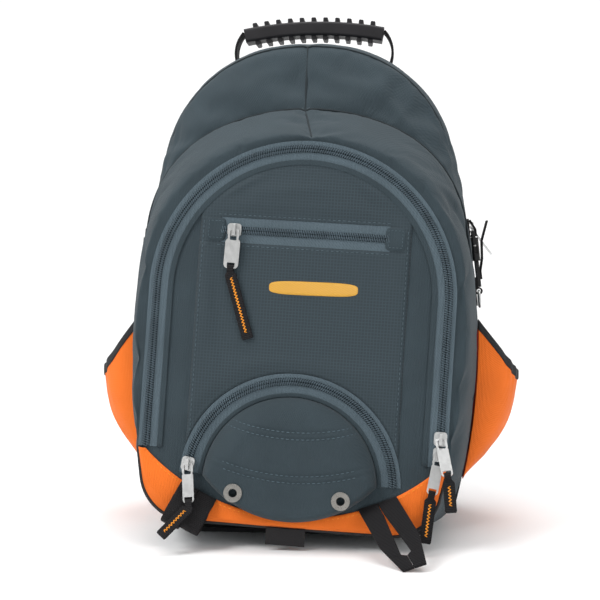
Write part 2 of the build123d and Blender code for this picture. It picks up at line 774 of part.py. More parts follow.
moon_tangent = math.degrees(moon_end) - 180.0
pulls = {
    "panel": dict(spot=panel_spot, channel=90, slack=ZIP_GAP, width=PULL_WIDE_W, turn=-2, tilt=-3.5,
                  tab=70, tab_tilt=2.2, bend=21),
    "front_upper": dict(spot=upper_spot, channel=0, slack=ZIP_GAP, width=PULL_W, turn=14, tilt=28,
                        tab=34, tab_tilt=-24, bend=-6),
    "front_lower": dict(spot=lower_spot, channel=0, slack=ZIP_GAP, width=PULL_W, turn=-8, tilt=4,
                        tab=46, tab_tilt=0, bend=4),
    "moon": dict(spot=moon_spot, channel=moon_tangent, slack=ZIP_GAP + ARC_SLACK, width=PULL_W, turn=9,
                 tilt=16, tab=42, tab_tilt=12, bend=-46),
    "main_upper": dict(spot=main_upper_spot, channel=0, slack=ZIP_GAP, width=PULL_W, turn=10, tilt=28,
                       tab=0, tab_tilt=0, bend=0),
    "main_lower": dict(spot=main_lower_spot, channel=0, slack=ZIP_GAP, width=PULL_W, turn=-6, tilt=2,
                       tab=0, tab_tilt=0, bend=0),
}
for name, pull in pulls.items():
    nodes[name + "_slider"] = pull["spot"].location * slider(pull["slack"], pull["channel"])
    hang = pivot_plane(pull["spot"], pull["turn"], pull["tilt"])
    pull["hang"] = hang
    nodes[name + "_puller"] = hang.location * puller(pull["width"])
    if pull["tab"] > 0:
        at = tab_plane(hang, pull["tab_tilt"])
        pull["tab_at"] = at
        nodes[name + "_tab"] = at.location * tab(pull["tab"], pull["bend"])


# ---- Webbing loops at the front corners ----------------------------------------------------------

def right_loop():
    """Strap folded to a point, lying forward on the floor: two legs with a tapering slot between them."""
    spot = on_plane(front_plane, LOOP_SEAM_X, LOOP_SEAM_Z, TRIM_T + SOFT_GAP, LOOP_TURN)
    seam = spot.origin
    tip = seam + Vector(LOOP_REACH_X, -LOOP_REACH_Y, 2 * LOOP_WEB_T - seam.Z)
    across = spot.x_dir
    run = seam - tip
    up = run - across * run.dot(across)
    plane = Plane(origin=seam, x_dir=across, z_dir=across.cross(up.normalized()))
    length = up.length
    shift = -run.dot(across)
    narrow = LOOP_WEB_W * LOOP_TIP_SHARE
    bend_y = -LOOP_BEND_SHARE * length
    bend_x = shift * LOOP_BEND_SHARE
    outline = Polyline((-LOOP_WEB_W, 0), (bend_x - LOOP_WEB_W, bend_y), (shift - narrow, -length),
                       (shift + narrow, -length), (bend_x + LOOP_WEB_W, bend_y), (LOOP_WEB_W, 0), close=True)
    slot_x, slot_y = shift * LOOP_SLOT_TOP, -length * LOOP_SLOT_TOP
    low_x, low_y = shift * LOOP_SLOT_LOW, -length * LOOP_SLOT_LOW
    half_slot = LOOP_WEB_W / 4
    slot = Polyline((slot_x - LOOP_SLIT, slot_y), (low_x - half_slot, low_y), (low_x + half_slot, low_y),
                    (slot_x + LOOP_SLIT, slot_y), close=True)
    return slab(plane, make_face(outline) - make_face(slot), LOOP_WEB_T)


def left_loop():
    """Strap hanging in a teardrop that curls back under, as wide as its two legs side by side."""
    spot = on_plane(front_plane, -LOOP_SEAM_X, LOOP_SEAM_Z, TRIM_T + SOFT_GAP, -LOOP_TURN)
    side = Plane(origin=spot.origin - spot.x_dir * LOOP_WEB_W, x_dir=spot.z_dir, z_dir=spot.x_dir * -1)
    curl_y = LOOP_CURL_R - LOOP_DROP
    far = 2 * LOOP_CURL_R
    curl = Pos(LOOP_CURL_R, curl_y)
    neck = 2 * LOOP_WEB_T + LOOP_SLIT
    outer_legs = Polyline((0, 0), (0, curl_y), (far, curl_y), (neck, 0), close=True)
    inner_legs = Polyline((LOOP_WEB_T, -LOOP_SEAM_L), (LOOP_WEB_T, curl_y), (far - LOOP_WEB_T, curl_y),
                          (neck - LOOP_WEB_T + LOOP_SLIT, -LOOP_SEAM_L), close=True)
    outer = curl * Circle(LOOP_CURL_R) + make_face(outer_legs)
    inner = curl * Circle(LOOP_CURL_R - LOOP_WEB_T) + make_face(inner_legs)
    return slab(side, outer - inner, -2 * LOOP_WEB_W)


nodes["webbing_loop_right"] = right_loop()
nodes["webbing_loop_left"] = left_loop()


# ---- Side pockets --------------------------------------------------------------------------------

def pocket_block(side, inset):
    """Outer or inner form of a side pocket: its front outline met with its plan."""
    s = side_sign(side)
    root = BODY_HALF - BODY_CORNER_R
    far = BODY_HALF + POCKET_BULGE - inset
    low = (s * root, POCKET_LOW_Z + inset)
    belly = (s * far, POCKET_BELLY_Z)
    top_z = POCKET_TOP_Z + POCKET_OVERRUN
    top = (s * (far - POCKET_LEAN_IN), top_z)
    back_line = [Line(top, (s * root, top_z)), Line((s * root, top_z), low)]
    outline = make_face([ThreePointArc(low, belly, top)] + back_line)
    long_y = POCKET_REAR_Y - POCKET_FRONT_Y - 2 * inset
    slice_ = slab(depth_plane(POCKET_REAR_Y - inset), outline, long_y)
    plan = RectangleRounded(BODY_HALF, long_y, POCKET_BULGE - 2 * inset)
    plan = Pos(s * (far - BODY_HALF / 2), (POCKET_REAR_Y + POCKET_FRONT_Y) / 2) * plan
    return slice_ & extrude(plan, amount=2 * POCKET_TOP_Z)


def mouth_cut(side, lift):
    """Everything above the slanting mouth of a side pocket, the mouth raised by lift."""
    s = side_sign(side)
    slope = math.radians(POCKET_MOUTH_SLOPE)
    plane = Plane(origin=(s * BODY_HALF, 0, POCKET_TOP_Z), x_dir=(0, s, 0),
                  z_dir=(s * math.sin(slope), 0, math.cos(slope)))
    return slab(plane, Rectangle(4 * BODY_HALF, 4 * BODY_HALF), 2 * BODY_HALF, lift)


def pocket_parts(side):
    """A side pocket's shell and the elastic binding round its mouth."""
    shell = pocket_block(side, 0) - pocket_block(side, POCKET_WALL)
    bag = slab(depth_plane(BACK_Y), body_arch(SOFT_GAP), 2 * BACK_Y)
    shell = shell - bag
    pocket = shell - mouth_cut(side, -BINDING_H)
    binding = (shell & mouth_cut(side, -BINDING_H)) - mouth_cut(side, 0)
    return pocket, binding


for side in ("left", "right"):
    nodes["side_pocket_" + side], nodes["pocket_binding_" + side] = pocket_parts(side)


# ---- Side-release buckles: local y up the strap, z away from the bag ----

WEB_Z = SOFT_GAP + SIDE_WEB_T / 2
BUCKLE_BACK = SOFT_GAP + SIDE_WEB_T + SOFT_GAP
BUCKLE_WALL = 1.5
RAIL = 3.0
BAR = 3.0
PRONG_W = 3.0
GUIDE_W = 4.0
BUCKLE_ROUND = 2.0


def ladder_slot():
    """Length of each of the two slots of the male half's ladder."""
    return (MALE_L - LADDER_HEAD - 3 * BAR) / 2


def buckle_female():
    """Sleeve open at the split line, side windows for the prongs, and an eye for its webbing."""
    z0 = BUCKLE_BACK
    z1 = z0 + BUCKLE_T
    half = BUCKLE_W / 2
    sleeve = box(-half, half, 0, FEMALE_L, z0, z1)
    sleeve = fillet(sleeve.edges().filter_by(Axis.Y), BUCKLE_ROUND)
    sleeve -= box(-half + RAIL, half - RAIL, -1, FEMALE_L - BUCKLE_WALL, z0 + BUCKLE_WALL, z1 - BUCKLE_WALL)
    window_z = (z0 + BUCKLE_WALL, z1 - BUCKLE_WALL)
    for s in (-1, 1):
        x0, x1 = sorted((s * (half - 2 * RAIL), s * (half + RAIL)))
        sleeve -= box(x0, x1, PRONG_L / 2, PRONG_L + BUCKLE_WALL, *window_z)
    eye_x = SIDE_WEB_W / 2 + PIVOT_GAP
    eye_z = z0 + BUCKLE_WALL
    eye = box(-eye_x - BAR, eye_x + BAR, FEMALE_L - BUCKLE_WALL / 2, FEMALE_L + EYE_L, eye_z, eye_z + BAR)
    eye -= box(-eye_x, eye_x, FEMALE_L, FEMALE_L + EYE_L - BAR, 0, z1)
    return sleeve + eye


def buckle_male():
    """Two prongs and a guide that enter the sleeve, a shoulder at the split line, and a ladder below."""
    z0 = BUCKLE_BACK + BUCKLE_WALL + SNAP_GAP
    z1 = z0 + BUCKLE_T - 2 * (BUCKLE_WALL + SNAP_GAP)
    half = BUCKLE_W / 2
    frame = box(-half, half, -MALE_L, -SOFT_GAP, z0, z1)
    frame = fillet(frame.edges().filter_by(Axis.Z), BUCKLE_ROUND)
    slot_x = SIDE_WEB_W / 2 + PIVOT_GAP
    slot_l = ladder_slot()
    for row in range(2):
        y1 = -LADDER_HEAD - row * (slot_l + BAR)
        frame -= box(-slot_x, slot_x, y1 - slot_l, y1, 0, 2 * z1)
    root_y = -LADDER_HEAD / 2
    guide = box(-GUIDE_W / 2, GUIDE_W / 2, root_y, PRONG_L, z0, z1)
    prong_x = half - RAIL - PIVOT_GAP
    parts = frame + guide
    for s in (-1, 1):
        x0, x1 = sorted((s * prong_x, s * (prong_x - PRONG_W)))
        parts += box(x0, x1, root_y, PRONG_L, z0, z1)
    return parts


def web_profile(points, width, thickness):
    """Webbing that follows (y, z) points in the strap's own plane, centred across it."""
    plane = Plane(origin=(-width / 2, 0, 0), x_dir=(0, 1, 0), z_dir=(1, 0, 0))
    return slab(plane, trace(Polyline(*points), thickness), width)


def fixed_webs(place):
    """Webbing sewn to the bag: the lower run behind the male half, and the upper one round the eye."""
    low = SIDE_WEB_LOW_Z - BUCKLE_SPLIT_Z
    high = SIDE_WEB_TOP_Z - BUCKLE_SPLIT_Z
    lower = web_profile([(low, WEB_Z), (-LADDER_HEAD, WEB_Z)], SIDE_WEB_W, SIDE_WEB_T)
    slot_y = FEMALE_L + (EYE_L - BAR) / 2
    over = BUCKLE_BACK + BUCKLE_WALL + BAR + SNAP_GAP + SIDE_WEB_T / 2
    past_bar = FEMALE_L + EYE_L + SIDE_WEB_T
    upper = web_profile([(high, WEB_Z), (slot_y, WEB_Z), (slot_y, over), (past_bar, over),
                         (high - SIDE_WEB_T, WEB_Z + SIDE_WEB_T + SOFT_GAP)], SIDE_WEB_W, SIDE_WEB_T)
    return Compound(children=[place * lower, place * upper])


def web_tail(side):
    """Loose end of the webbing: through the ladder and over its bar, down in front or up and out."""
    slot_l = ladder_slot()
    front = BUCKLE_BACK + BUCKLE_T - BUCKLE_WALL + SIDE_WEB_T / 2 + SNAP_GAP / 2
    back = BUCKLE_BACK + SIDE_WEB_T / 2
    y_up = -LADDER_HEAD - slot_l / 2
    y_low = y_up - slot_l - BAR
    if side == "left":
        knee = y_low - TAIL_DROP
        points = [(y_up, back), (y_up, front), (knee, front), (knee - TAIL_DROP, front - SIDE_WEB_T)]
    else:
        points = [(y_low, back), (y_low, front), (y_up, front), (SIDE_WEB_T, front + 2 * SIDE_WEB_T),
                  (TAIL_RISE / 2, front + 3 * SIDE_WEB_T), (TAIL_RISE, front + 8 * SIDE_WEB_T)]
    return web_profile(points, SIDE_WEB_W, SIDE_WEB_T)


buckle_spots = {side: side_plane(side, BUCKLE_Y, BUCKLE_SPLIT_Z) for side in ("left", "right")}
for side, spot in buckle_spots.items():
    nodes["compression_strap_" + side] = fixed_webs(spot.location)
    nodes["buckle_female_" + side] = spot.location * buckle_female()
    nodes["buckle_male_" + side] = spot.location * buckle_male()
    nodes["compression_tail_" + side] = spot.location * web_tail(side)


# ---- Ring at the right pocket --------------------------------------------------------------------

def side_ring():
    """Closed wire ring, hanging flat against the bag's side from its top point."""
    return Pos(0, -RING_R, 0) * Torus(RING_R, RING_WIRE_R)


def side_ring_tab():
    """Loop of narrow webbing that holds the ring, its ends sewn flat above."""
    hole = RING_WIRE_R + RING_GAP
    outer = hole + RING_TAB_T
    loop = Cylinder(outer, RING_TAB_W, rotation=(0, 90, 0))
    tail = box(-RING_TAB_W / 2, RING_TAB_W / 2, 0, RING_TAB_L, -outer, -outer + 2 * RING_TAB_T)
    hollow = Cylinder(hole, 2 * RING_TAB_W, rotation=(0, 90, 0))
    return loop + tail - hollow


ring_spot = side_plane("right", RING_Y, RING_Z, SOFT_GAP + RING_WIRE_R + RING_GAP + RING_TAB_T)
nodes["side_ring"] = ring_spot.location * side_ring()
nodes["side_ring_tab"] = ring_spot.location * side_ring_tab()


# ---- Grab handle ---------------------------------------------------------------------------------

def shoulder_height(x):
    """Height of the bag's crown or shoulder arc at a distance from the middle."""
    side_c = (BODY_HALF - BODY_SIDE_R, BODY_WIDEST_Z)
    top_c = (0.0, BODY_TOP - BODY_TOP_R)
    reach = (BODY_SIDE_R - BODY_SHOULDER_R, BODY_TOP_R - BODY_SHOULDER_R)
    centre = circles_meet(*side_c, reach[0], *top_c, reach[1])
    crown_end = centre[0] * BODY_TOP_R / reach[1]
    if x < crown_end:
        return top_c[1] + math.sqrt(BODY_TOP_R ** 2 - x ** 2)
    return centre[1] + math.sqrt(BODY_SHOULDER_R ** 2 - (x - centre[0]) ** 2)


HANDLE_AXIS_Z = shoulder_height(RISER_X - RISER_T / 2) + RISER_W / 2 + SOFT_GAP


def crown_radius():
    """Radius of the grip's gentle arc."""
    return (GRIP_L ** 2 / 4 + GRIP_CROWN ** 2) / (2 * GRIP_CROWN)


def grip():
    """Moulded grip: an arched core with a smooth middle band and blocks of ribs above and below it."""
    radius = crown_radius()
    centre = GRIP_Z - radius
    plane = depth_plane(HANDLE_Y + GRIP_D / 2)
    half_angle = math.asin(GRIP_L / 2 / radius)
    ends = (GRIP_L / 2, GRIP_Z - GRIP_CROWN)
    line = ThreePointArc(mirrored(ends), (0, GRIP_Z), ends)
    core = slab(plane, trace(line, GRIP_H), GRIP_D)
    core = fillet(core.edges().filter_by(Axis.Z, reverse=True).filter_by(GeomType.CIRCLE), GRIP_ROUND)
    step = 2 * half_angle / (RIB_ROWS + 1)
    for row in range(RIB_ROWS):
        angle = -half_angle + (row + 1) * step
        ux, uz = math.sin(angle), math.cos(angle)
        reach = GRIP_H + 2 * RIB_H
        spot = Location((radius * ux, HANDLE_Y, centre + radius * uz), (0, math.degrees(angle), 0))
        rib = Box(RIB_W, GRIP_D - 2 * GRIP_ROUND, reach)
        core += spot * fillet(rib.edges().filter_by(Axis.Y), RIB_ROUND)
    return core


def risers():
    """Two webbing risers: from the grip's ends they bow outward and come down to the bag's top seam."""
    made = []
    for s in (-1, 1):
        top = (s * (GRIP_L / 2 + RISER_T / 2 + SOFT_GAP), GRIP_Z - GRIP_CROWN + GRIP_H / 4)
        bow = (s * (RISER_X + RISER_BOW), (GRIP_Z + HANDLE_AXIS_Z) / 2 - RISER_T)
        foot = (s * RISER_X, HANDLE_AXIS_Z - RISER_W / 2)
        line = trace(ThreePointArc(top, bow, foot), RISER_T)
        strip = slab(depth_plane(HANDLE_Y + RISER_W / 2), line, RISER_W)
        across = Plane(origin=(-2 * RISER_X, 0, 0), x_dir=(0, 1, 0), z_dir=(1, 0, 0))
        shape = Pos(HANDLE_Y, HANDLE_AXIS_Z) * Circle(RISER_W / 2)
        shape += Pos(HANDLE_Y, HANDLE_AXIS_Z + GRIP_Z / 2) * Rectangle(RISER_W, GRIP_Z)
        made.append(strip & slab(across, shape, 4 * RISER_X))
    return Compound(children=made)


nodes["grab_handle_grip"] = grip()
nodes["grab_handle_webbing"] = risers()


# ---- Write the parts -----------------------------------------------------------------------------

os.makedirs("parts", exist_ok=True)
for name, shape in nodes.items():
    export_step(shape, "parts/" + name + ".step")
print(len(nodes), "nodes")
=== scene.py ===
# %% [markdown]
# # A hiking backpack in cloth, webbing, nylon and rubber
# The imported model gives every hard part its exact place: sliders, pullers, buckles, eyelets and rings.
# Blender's work is the look of it: swollen cloth, seams, coils, stitches, and a finish for each surface.
# The first step loads that model and its record. The finished bag has to stay close to it.

# %% Load the frame
import json
import math

import bpy
import numpy as np
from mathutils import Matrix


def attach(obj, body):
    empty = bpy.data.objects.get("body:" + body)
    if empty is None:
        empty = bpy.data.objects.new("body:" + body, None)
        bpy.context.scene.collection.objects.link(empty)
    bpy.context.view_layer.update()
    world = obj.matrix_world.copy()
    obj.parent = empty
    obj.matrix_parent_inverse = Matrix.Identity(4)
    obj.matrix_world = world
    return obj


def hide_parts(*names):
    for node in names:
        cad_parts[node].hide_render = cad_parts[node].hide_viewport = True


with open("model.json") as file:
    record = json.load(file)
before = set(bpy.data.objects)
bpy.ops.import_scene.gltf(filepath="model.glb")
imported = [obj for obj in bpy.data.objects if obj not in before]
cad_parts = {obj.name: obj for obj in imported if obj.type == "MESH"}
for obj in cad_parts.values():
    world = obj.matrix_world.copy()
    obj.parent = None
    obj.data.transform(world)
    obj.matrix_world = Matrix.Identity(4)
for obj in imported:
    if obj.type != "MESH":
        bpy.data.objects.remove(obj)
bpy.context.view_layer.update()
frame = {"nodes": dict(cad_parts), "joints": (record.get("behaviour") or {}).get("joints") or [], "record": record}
ROOT = "bag"

# %% [markdown]
# ## Grids
# Most pieces here are one rectangular grid of points, bent into shape. A grid that closes on itself is a
# tube, and a tube whose ends shrink to one point is a closed bag. Working on whole arrays keeps each shape
# a formula, and the faces follow from the grid's size alone.

# %% Grid helpers
MM = 0.001


def ease(value):
    """Smooth step: 0 below 0, 1 above 1, and 3t^2 - 2t^3 between."""
    t = np.clip(value, 0.0, 1.0)
    return t * t * (3.0 - 2.0 * t)


def grid_faces(rows, cols, wrap=False):
    """Four-cornered faces of a rows x cols grid; wrap joins the last column to the first."""
    r, c = np.meshgrid(np.arange(rows - 1), np.arange(cols if wrap else cols - 1), indexing="ij")
    right = (c + 1) % cols
    corners = [r * cols + c, r * cols + right, (r + 1) * cols + right, (r + 1) * cols + c]
    return np.stack(corners, -1).reshape(-1, 4)


def outward(points, faces):
    """The faces turned round if the volume they enclose, a sum of corner products, comes out negative."""
    a, b, c = (points[faces[:, k]] for k in (0, 1, 2))
    middle = points.mean(0)
    volume = np.einsum("ij,ij->i", a - middle, np.cross(b - middle, c - middle)).sum()
    return faces if volume >= 0 else faces[:, ::-1]


# %% A piece on its body
def new_piece(name, points, faces, material, body=ROOT, uv=None):
    """Puts arrays of points and faces in a mesh, with a UV per point if given, and rides it on a body."""
    mesh = bpy.data.meshes.new(name)
    mesh.from_pydata(np.asarray(points, float).tolist(), [], [list(map(int, f)) for f in faces])
    if uv is not None:
        corner = np.empty(len(mesh.loops), np.int32)
        mesh.loops.foreach_get("vertex_index", corner)
        mesh.uv_layers.new(name="cloth").data.foreach_set("uv", np.asarray(uv, np.float32)[corner].ravel())
    mesh.polygons.foreach_set("use_smooth", np.full(len(mesh.polygons), True))
    mesh.materials.append(material)
    mesh.validate()
    mesh.update()
    piece = bpy.data.objects.new(name, mesh)
    bpy.context.scene.collection.objects.link(piece)
    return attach(piece, body)


# %% Closing a tube
def cap(count, start, flip):
    """Closes a ring the way a zip does: each point joins the one opposite it, so no point is crowded."""
    low = np.arange(1, (count - 1) // 2)
    faces = [(0, 1, count - 1)] + np.stack([low, low + 1, count - low - 1, count - low], -1).tolist()
    if count % 2 == 0:
        faces.append((count // 2 - 1, count // 2, count // 2 + 1))
    return [tuple(start + corner for corner in (face[::-1] if flip else face)) for face in faces]


def closed_tube(points):
    """Points and faces of a rows x cols grid that wraps round, with both end rows closed."""
    rows, cols = points.shape[:2]
    flat = points.reshape(-1, 3)
    quads = grid_faces(rows, cols, wrap=True)
    turned = outward(flat, quads)
    inside_out = not np.array_equal(turned, quads)
    ends = cap(cols, 0, not inside_out) + cap(cols, (rows - 1) * cols, inside_out)
    return flat, turned.tolist() + ends


# %% Thickness and rounding
def solidify(piece, thickness, offset=-1.0):
    """Gives a single surface its thickness."""
    wall = piece.modifiers.new("wall", "SOLIDIFY")
    wall.thickness = thickness
    wall.offset = offset


def subdivide(piece, levels=1):
    """Rounds a piece's facets, the same in the viewport and in the render."""
    smooth = piece.modifiers.new("smooth", "SUBSURF")
    smooth.levels = levels
    smooth.render_levels = levels


# %% [markdown]
# ## Finishes
# Each finish is a small tree of nodes: a colour that drifts a little, a roughness, and a bump for the weave
# or the grain. Patterns read the piece's own object coordinates, so they stay put when a puller swings.

# %% Node helper
def node(material, kind, inputs=None, **settings):
    """Adds one shader node, sets its fields, and joins or sets its inputs."""
    made = material.node_tree.nodes.new("ShaderNode" + kind)
    for field, value in settings.items():
        setattr(made, field, value)
    for name, value in (inputs or {}).items():
        if isinstance(value, bpy.types.NodeSocket):
            material.node_tree.links.new(value, made.inputs[name])
        else:
            made.inputs[name].default_value = value
    return made


# %% A plain finish and its coordinates
def finish(name, colour, rough, metallic=0.0, sheen=0.0, coat=0.0):
    """A new material with its constants on the shader's own sockets; returns it and its shader."""
    material = bpy.data.materials.new(name)
    material.use_nodes = True
    shader = material.node_tree.nodes["Principled BSDF"]
    constants = {"Base Color": (*colour, 1.0), "Roughness": rough, "Metallic": metallic,
                 "Sheen Weight": sheen, "Coat Weight": coat}
    for socket, value in constants.items():
        shader.inputs[socket].default_value = value
    return material, shader


def place(material, scale=(1.0, 1.0, 1.0), turn=(0.0, 0.0, 0.0), source="Object"):
    """Texture coordinates of the piece, stretched and turned."""
    coordinate = node(material, "TexCoord")
    return node(material, "Mapping", {"Vector": coordinate.outputs[source], "Scale": scale,
                                      "Rotation": turn}).outputs["Vector"]


# %% Colour, bump and bands
def drift(material, shader, colour, other, size):
    """Blends two colours by soft noise of the given size in metres."""
    noise = node(material, "TexNoise", {"Vector": place(material), "Scale": 1.0 / size, "Detail": 4.0})
    ramp = node(material, "ValToRGB", {"Fac": noise.outputs["Fac"]})
    ramp.color_ramp.elements[0].position = 0.32
    ramp.color_ramp.elements[0].color = (*other, 1.0)
    ramp.color_ramp.elements[1].position = 0.68
    ramp.color_ramp.elements[1].color = (*colour, 1.0)
    material.node_tree.links.new(ramp.outputs["Color"], shader.inputs["Base Color"])


def bump(material, shader, height, strength, distance):
    """Joins a height to the shader's normal."""
    made = node(material, "Bump", {"Height": height, "Strength": strength, "Distance": distance})
    material.node_tree.links.new(made.outputs["Normal"], shader.inputs["Normal"])


BAND_AT_SCALE_1 = 0.314


def stripes(material, period, vector):
    """Sine bands along the vector's first axis; at scale 1 the texture has one band every 0.314 units."""
    return node(material, "TexWave", {"Vector": vector, "Scale": BAND_AT_SCALE_1 / period}).outputs["Fac"]


def blend(material, one, two, how="ADD"):
    """Adds, multiplies or takes the larger of two heights."""
    return node(material, "Math", {0: one, 1: two}, operation=how).outputs["Value"]


# %% [markdown]
# Woven polyester is two sets of yarns that cross. Two turned sets of bands give that crossing on every face
# of a piece, whichever way it points, and a fine noise breaks up the regularity that real yarn doesn't have.

# %% Cloth finishes
def shade(colour, by):
    """A colour made darker or lighter."""
    return tuple(min(1.0, channel * by) for channel in colour)


def woven(name, colour, yarn=0.0012, rough=0.84, strength=0.35, sheen=0.06, uneven=0.045):
    """Plain weave: crossed bands and noise as bump, over a colour that drifts."""
    material, shader = finish(name, colour, rough, sheen=sheen)
    shader.inputs["Sheen Roughness"].default_value = 0.5
    shader.inputs["Specular IOR Level"].default_value = 0.25
    drift(material, shader, shade(colour, 1.07), shade(colour, 0.92), uneven)
    warp = stripes(material, yarn, place(material, turn=(0.3, 0.5, 0.8)))
    weft = stripes(material, yarn, place(material, turn=(0.9, 2.2, -0.6)))
    fuzz = node(material, "TexNoise", {"Vector": place(material), "Scale": 900.0, "Detail": 3.0})
    crossed = blend(material, blend(material, warp, weft), fuzz.outputs["Fac"])
    bump(material, shader, crossed, strength, 0.0004)
    return material


SLATE = (0.0300, 0.0450, 0.0540)
ORANGE = (0.78, 0.155, 0.012)
slate_cloth = woven("slate_cloth", SLATE)
orange_cloth = woven("orange_cloth", ORANGE, rough=0.7, uneven=0.06)
# A darker red copy of the orange for the side pockets' inner faces: painted shade for their shadowed insides.
pocket_inside_shade = woven("orange_inside_painted_shade", (0.35, 0.03, 0.02), rough=0.7)
base_cloth = woven("coated_black_cloth", (0.015, 0.015, 0.017), yarn=0.0022, rough=0.6)
elastic_cloth = woven("ribbed_elastic", (0.022, 0.023, 0.025), yarn=0.0018, strength=0.6)
tape_cloth = woven("knitted_zip_tape", (0.076, 0.106, 0.126), yarn=0.0016, strength=0.6, sheen=0.06)
label_cloth = woven("label_satin", (0.010, 0.009, 0.010), yarn=0.0008, rough=0.5)
print(len(bpy.data.materials), "woven cloths")

# %% [markdown]
# Ripstop has a thicker yarn every few threads, which shows as a fine square grid. It needs a straight grid
# on the panel, so it reads the panel's own UV, laid out in metres.

# %% Ripstop
def ripstop(name, colour, cell=0.0030):
    """Grid of thicker yarns on the UV: narrow crests of two sets of bands, lighter and raised."""
    material, shader = finish(name, colour, 0.76, sheen=0.06)
    shader.inputs["Specular IOR Level"].default_value = 0.3
    across = stripes(material, cell, place(material, source="UV"))
    along = stripes(material, cell, place(material, turn=(0.0, 0.0, math.pi / 2), source="UV"))
    crest = blend(material, blend(material, across, along, "MAXIMUM"), 6.0, "POWER")
    ramp = node(material, "ValToRGB", {"Fac": crest})
    ramp.color_ramp.elements[0].color = (*shade(colour, 0.96), 1.0)
    ramp.color_ramp.elements[1].color = (*shade(colour, 1.4), 1.0)
    material.node_tree.links.new(ramp.outputs["Color"], shader.inputs["Base Color"])
    fuzz = node(material, "TexNoise", {"Vector": place(material), "Scale": 700.0, "Detail": 3.0})
    bump(material, shader, blend(material, crest, fuzz.outputs["Fac"]), 0.3, 0.0004)
    return material


# %% Webbing and mesh
def webbing(name, colour, rib=0.0016, source="UV"):
    """Ribs across the strap, their height broken by a fine twill."""
    material, shader = finish(name, colour, 0.7, sheen=0.02)
    shader.inputs["Specular IOR Level"].default_value = 0.2
    turn = (0.0, 0.0, math.pi / 2) if source == "UV" else (0.35, 1.25, 0.3)
    ribs = stripes(material, rib, place(material, turn=turn, source=source))
    twill = stripes(material, rib * 0.45, place(material, turn=(0.7, 0.4, 0.8), source=source))
    ramp = node(material, "ValToRGB", {"Fac": ribs})
    ramp.color_ramp.elements[0].color = (*shade(colour, 0.6), 1.0)
    ramp.color_ramp.elements[1].color = (*shade(colour, 1.5), 1.0)
    material.node_tree.links.new(ramp.outputs["Color"], shader.inputs["Base Color"])
    bump(material, shader, blend(material, ribs, blend(material, twill, 0.3, "MULTIPLY")), 0.7, 0.0005)
    return material


def spacer_mesh(name, colour, hole=0.0032):
    """Open knit over foam: rounded cells, dark in their middles."""
    material, shader = finish(name, colour, 0.85, sheen=0.1)
    cells = node(material, "TexVoronoi", {"Vector": place(material), "Scale": 1.0 / hole,
                                          "Randomness": 0.25})
    ramp = node(material, "ValToRGB", {"Fac": cells.outputs["Distance"]})
    ramp.color_ramp.elements[0].color = (*shade(colour, 0.25), 1.0)
    ramp.color_ramp.elements[1].position = 0.45
    ramp.color_ramp.elements[1].color = (*shade(colour, 1.6), 1.0)
    material.node_tree.links.new(ramp.outputs["Color"], shader.inputs["Base Color"])
    bump(material, shader, cells.outputs["Distance"], 0.7, 0.0008)
    return material


panel_cloth = ripstop("ripstop_panel", (0.0245, 0.0375, 0.0455))
black_webbing = webbing("black_webbing", (0.0075, 0.0068, 0.0078))
plain_webbing = webbing("black_webbing_solid", (0.0075, 0.0068, 0.0078), source="Object")
mesh_cloth = spacer_mesh("spacer_mesh", (0.020, 0.021, 0.023))

# %% [markdown]
# The hard finishes are simpler. Moulded plastic and rubber have a fine cast grain, the pullers are satin
# die-cast metal with faint scuffs, and thread is a soft fibre.

# %% Hard finishes and thread
def moulded(name, colour, rough, grain=0.0007, strength=0.15, coat=0.0):
    """Cast grain as bump, over a colour that drifts a little."""
    material, shader = finish(name, colour, rough, coat=coat)
    shader.inputs["Specular IOR Level"].default_value = 0.35
    noise = node(material, "TexNoise", {"Vector": place(material), "Scale": 1.0 / grain, "Detail": 2.0})
    drift(material, shader, shade(colour, 1.2), shade(colour, 0.8), 0.02)
    bump(material, shader, noise.outputs["Fac"], strength, 0.0002)
    return material


def cast_metal(name, colour, rough):
    """Satin metal: stretched scuffs change the roughness and barely touch the surface."""
    material, shader = finish(name, colour, rough, metallic=1.0)
    scuff = node(material, "TexNoise", {"Vector": place(material, scale=(1.0, 1.0, 0.3)), "Scale": 700.0,
                                        "Detail": 3.0})
    spread = node(material, "MapRange", {"Value": scuff.outputs["Fac"], "From Min": 0.3, "From Max": 0.7,
                                         "To Min": rough - 0.08, "To Max": rough + 0.1})
    material.node_tree.links.new(spread.outputs["Result"], shader.inputs["Roughness"])
    drift(material, shader, colour, shade(colour, 0.86), 0.006)
    bump(material, shader, scuff.outputs["Fac"], 0.12, 0.0001)
    return material


buckle_plastic = moulded("black_acetal", (0.013, 0.013, 0.014), 0.34, coat=0.1)
sheet_plastic = moulded("black_sheet", (0.02, 0.02, 0.02), 0.5)
handle_rubber = moulded("handle_rubber", (0.012, 0.011, 0.013), 0.55, grain=0.0012, strength=0.3)
coil_nylon = moulded("coil_nylon", (0.072, 0.103, 0.125), 0.42)
pull_metal = cast_metal("satin_nickel", (0.66, 0.665, 0.66), 0.38)
eyelet_metal = cast_metal("nickel_eyelet", (0.30, 0.29, 0.27), 0.3)
# seam_shadow: a dark slate for the cords along the seams, painted shade for the shadow in each seam's valley.
painted_seam_shadow = moulded("seam_shadow", shade(SLATE, 0.42), 0.85, strength=0.3)
orange_thread = moulded("orange_thread", (0.86, 0.30, 0.02), 0.6, strength=0.3)
slate_thread = moulded("slate_thread", shade(SLATE, 2.4), 0.6, strength=0.3)
black_thread = moulded("black_piping", (0.012, 0.012, 0.013), 0.55, strength=0.3)
print(len(bpy.data.materials), "materials so far")

# %% [markdown]
# ## The bag's outlines
# Every cross-section of the bag is one arch: long bowed sides, tighter shoulders, a shallow crown and round
# bottom corners, all tangent arcs. A section is five radii and heights, and sections between two others
# take values between theirs, which is how a sewn bag tapers from its back to its front.

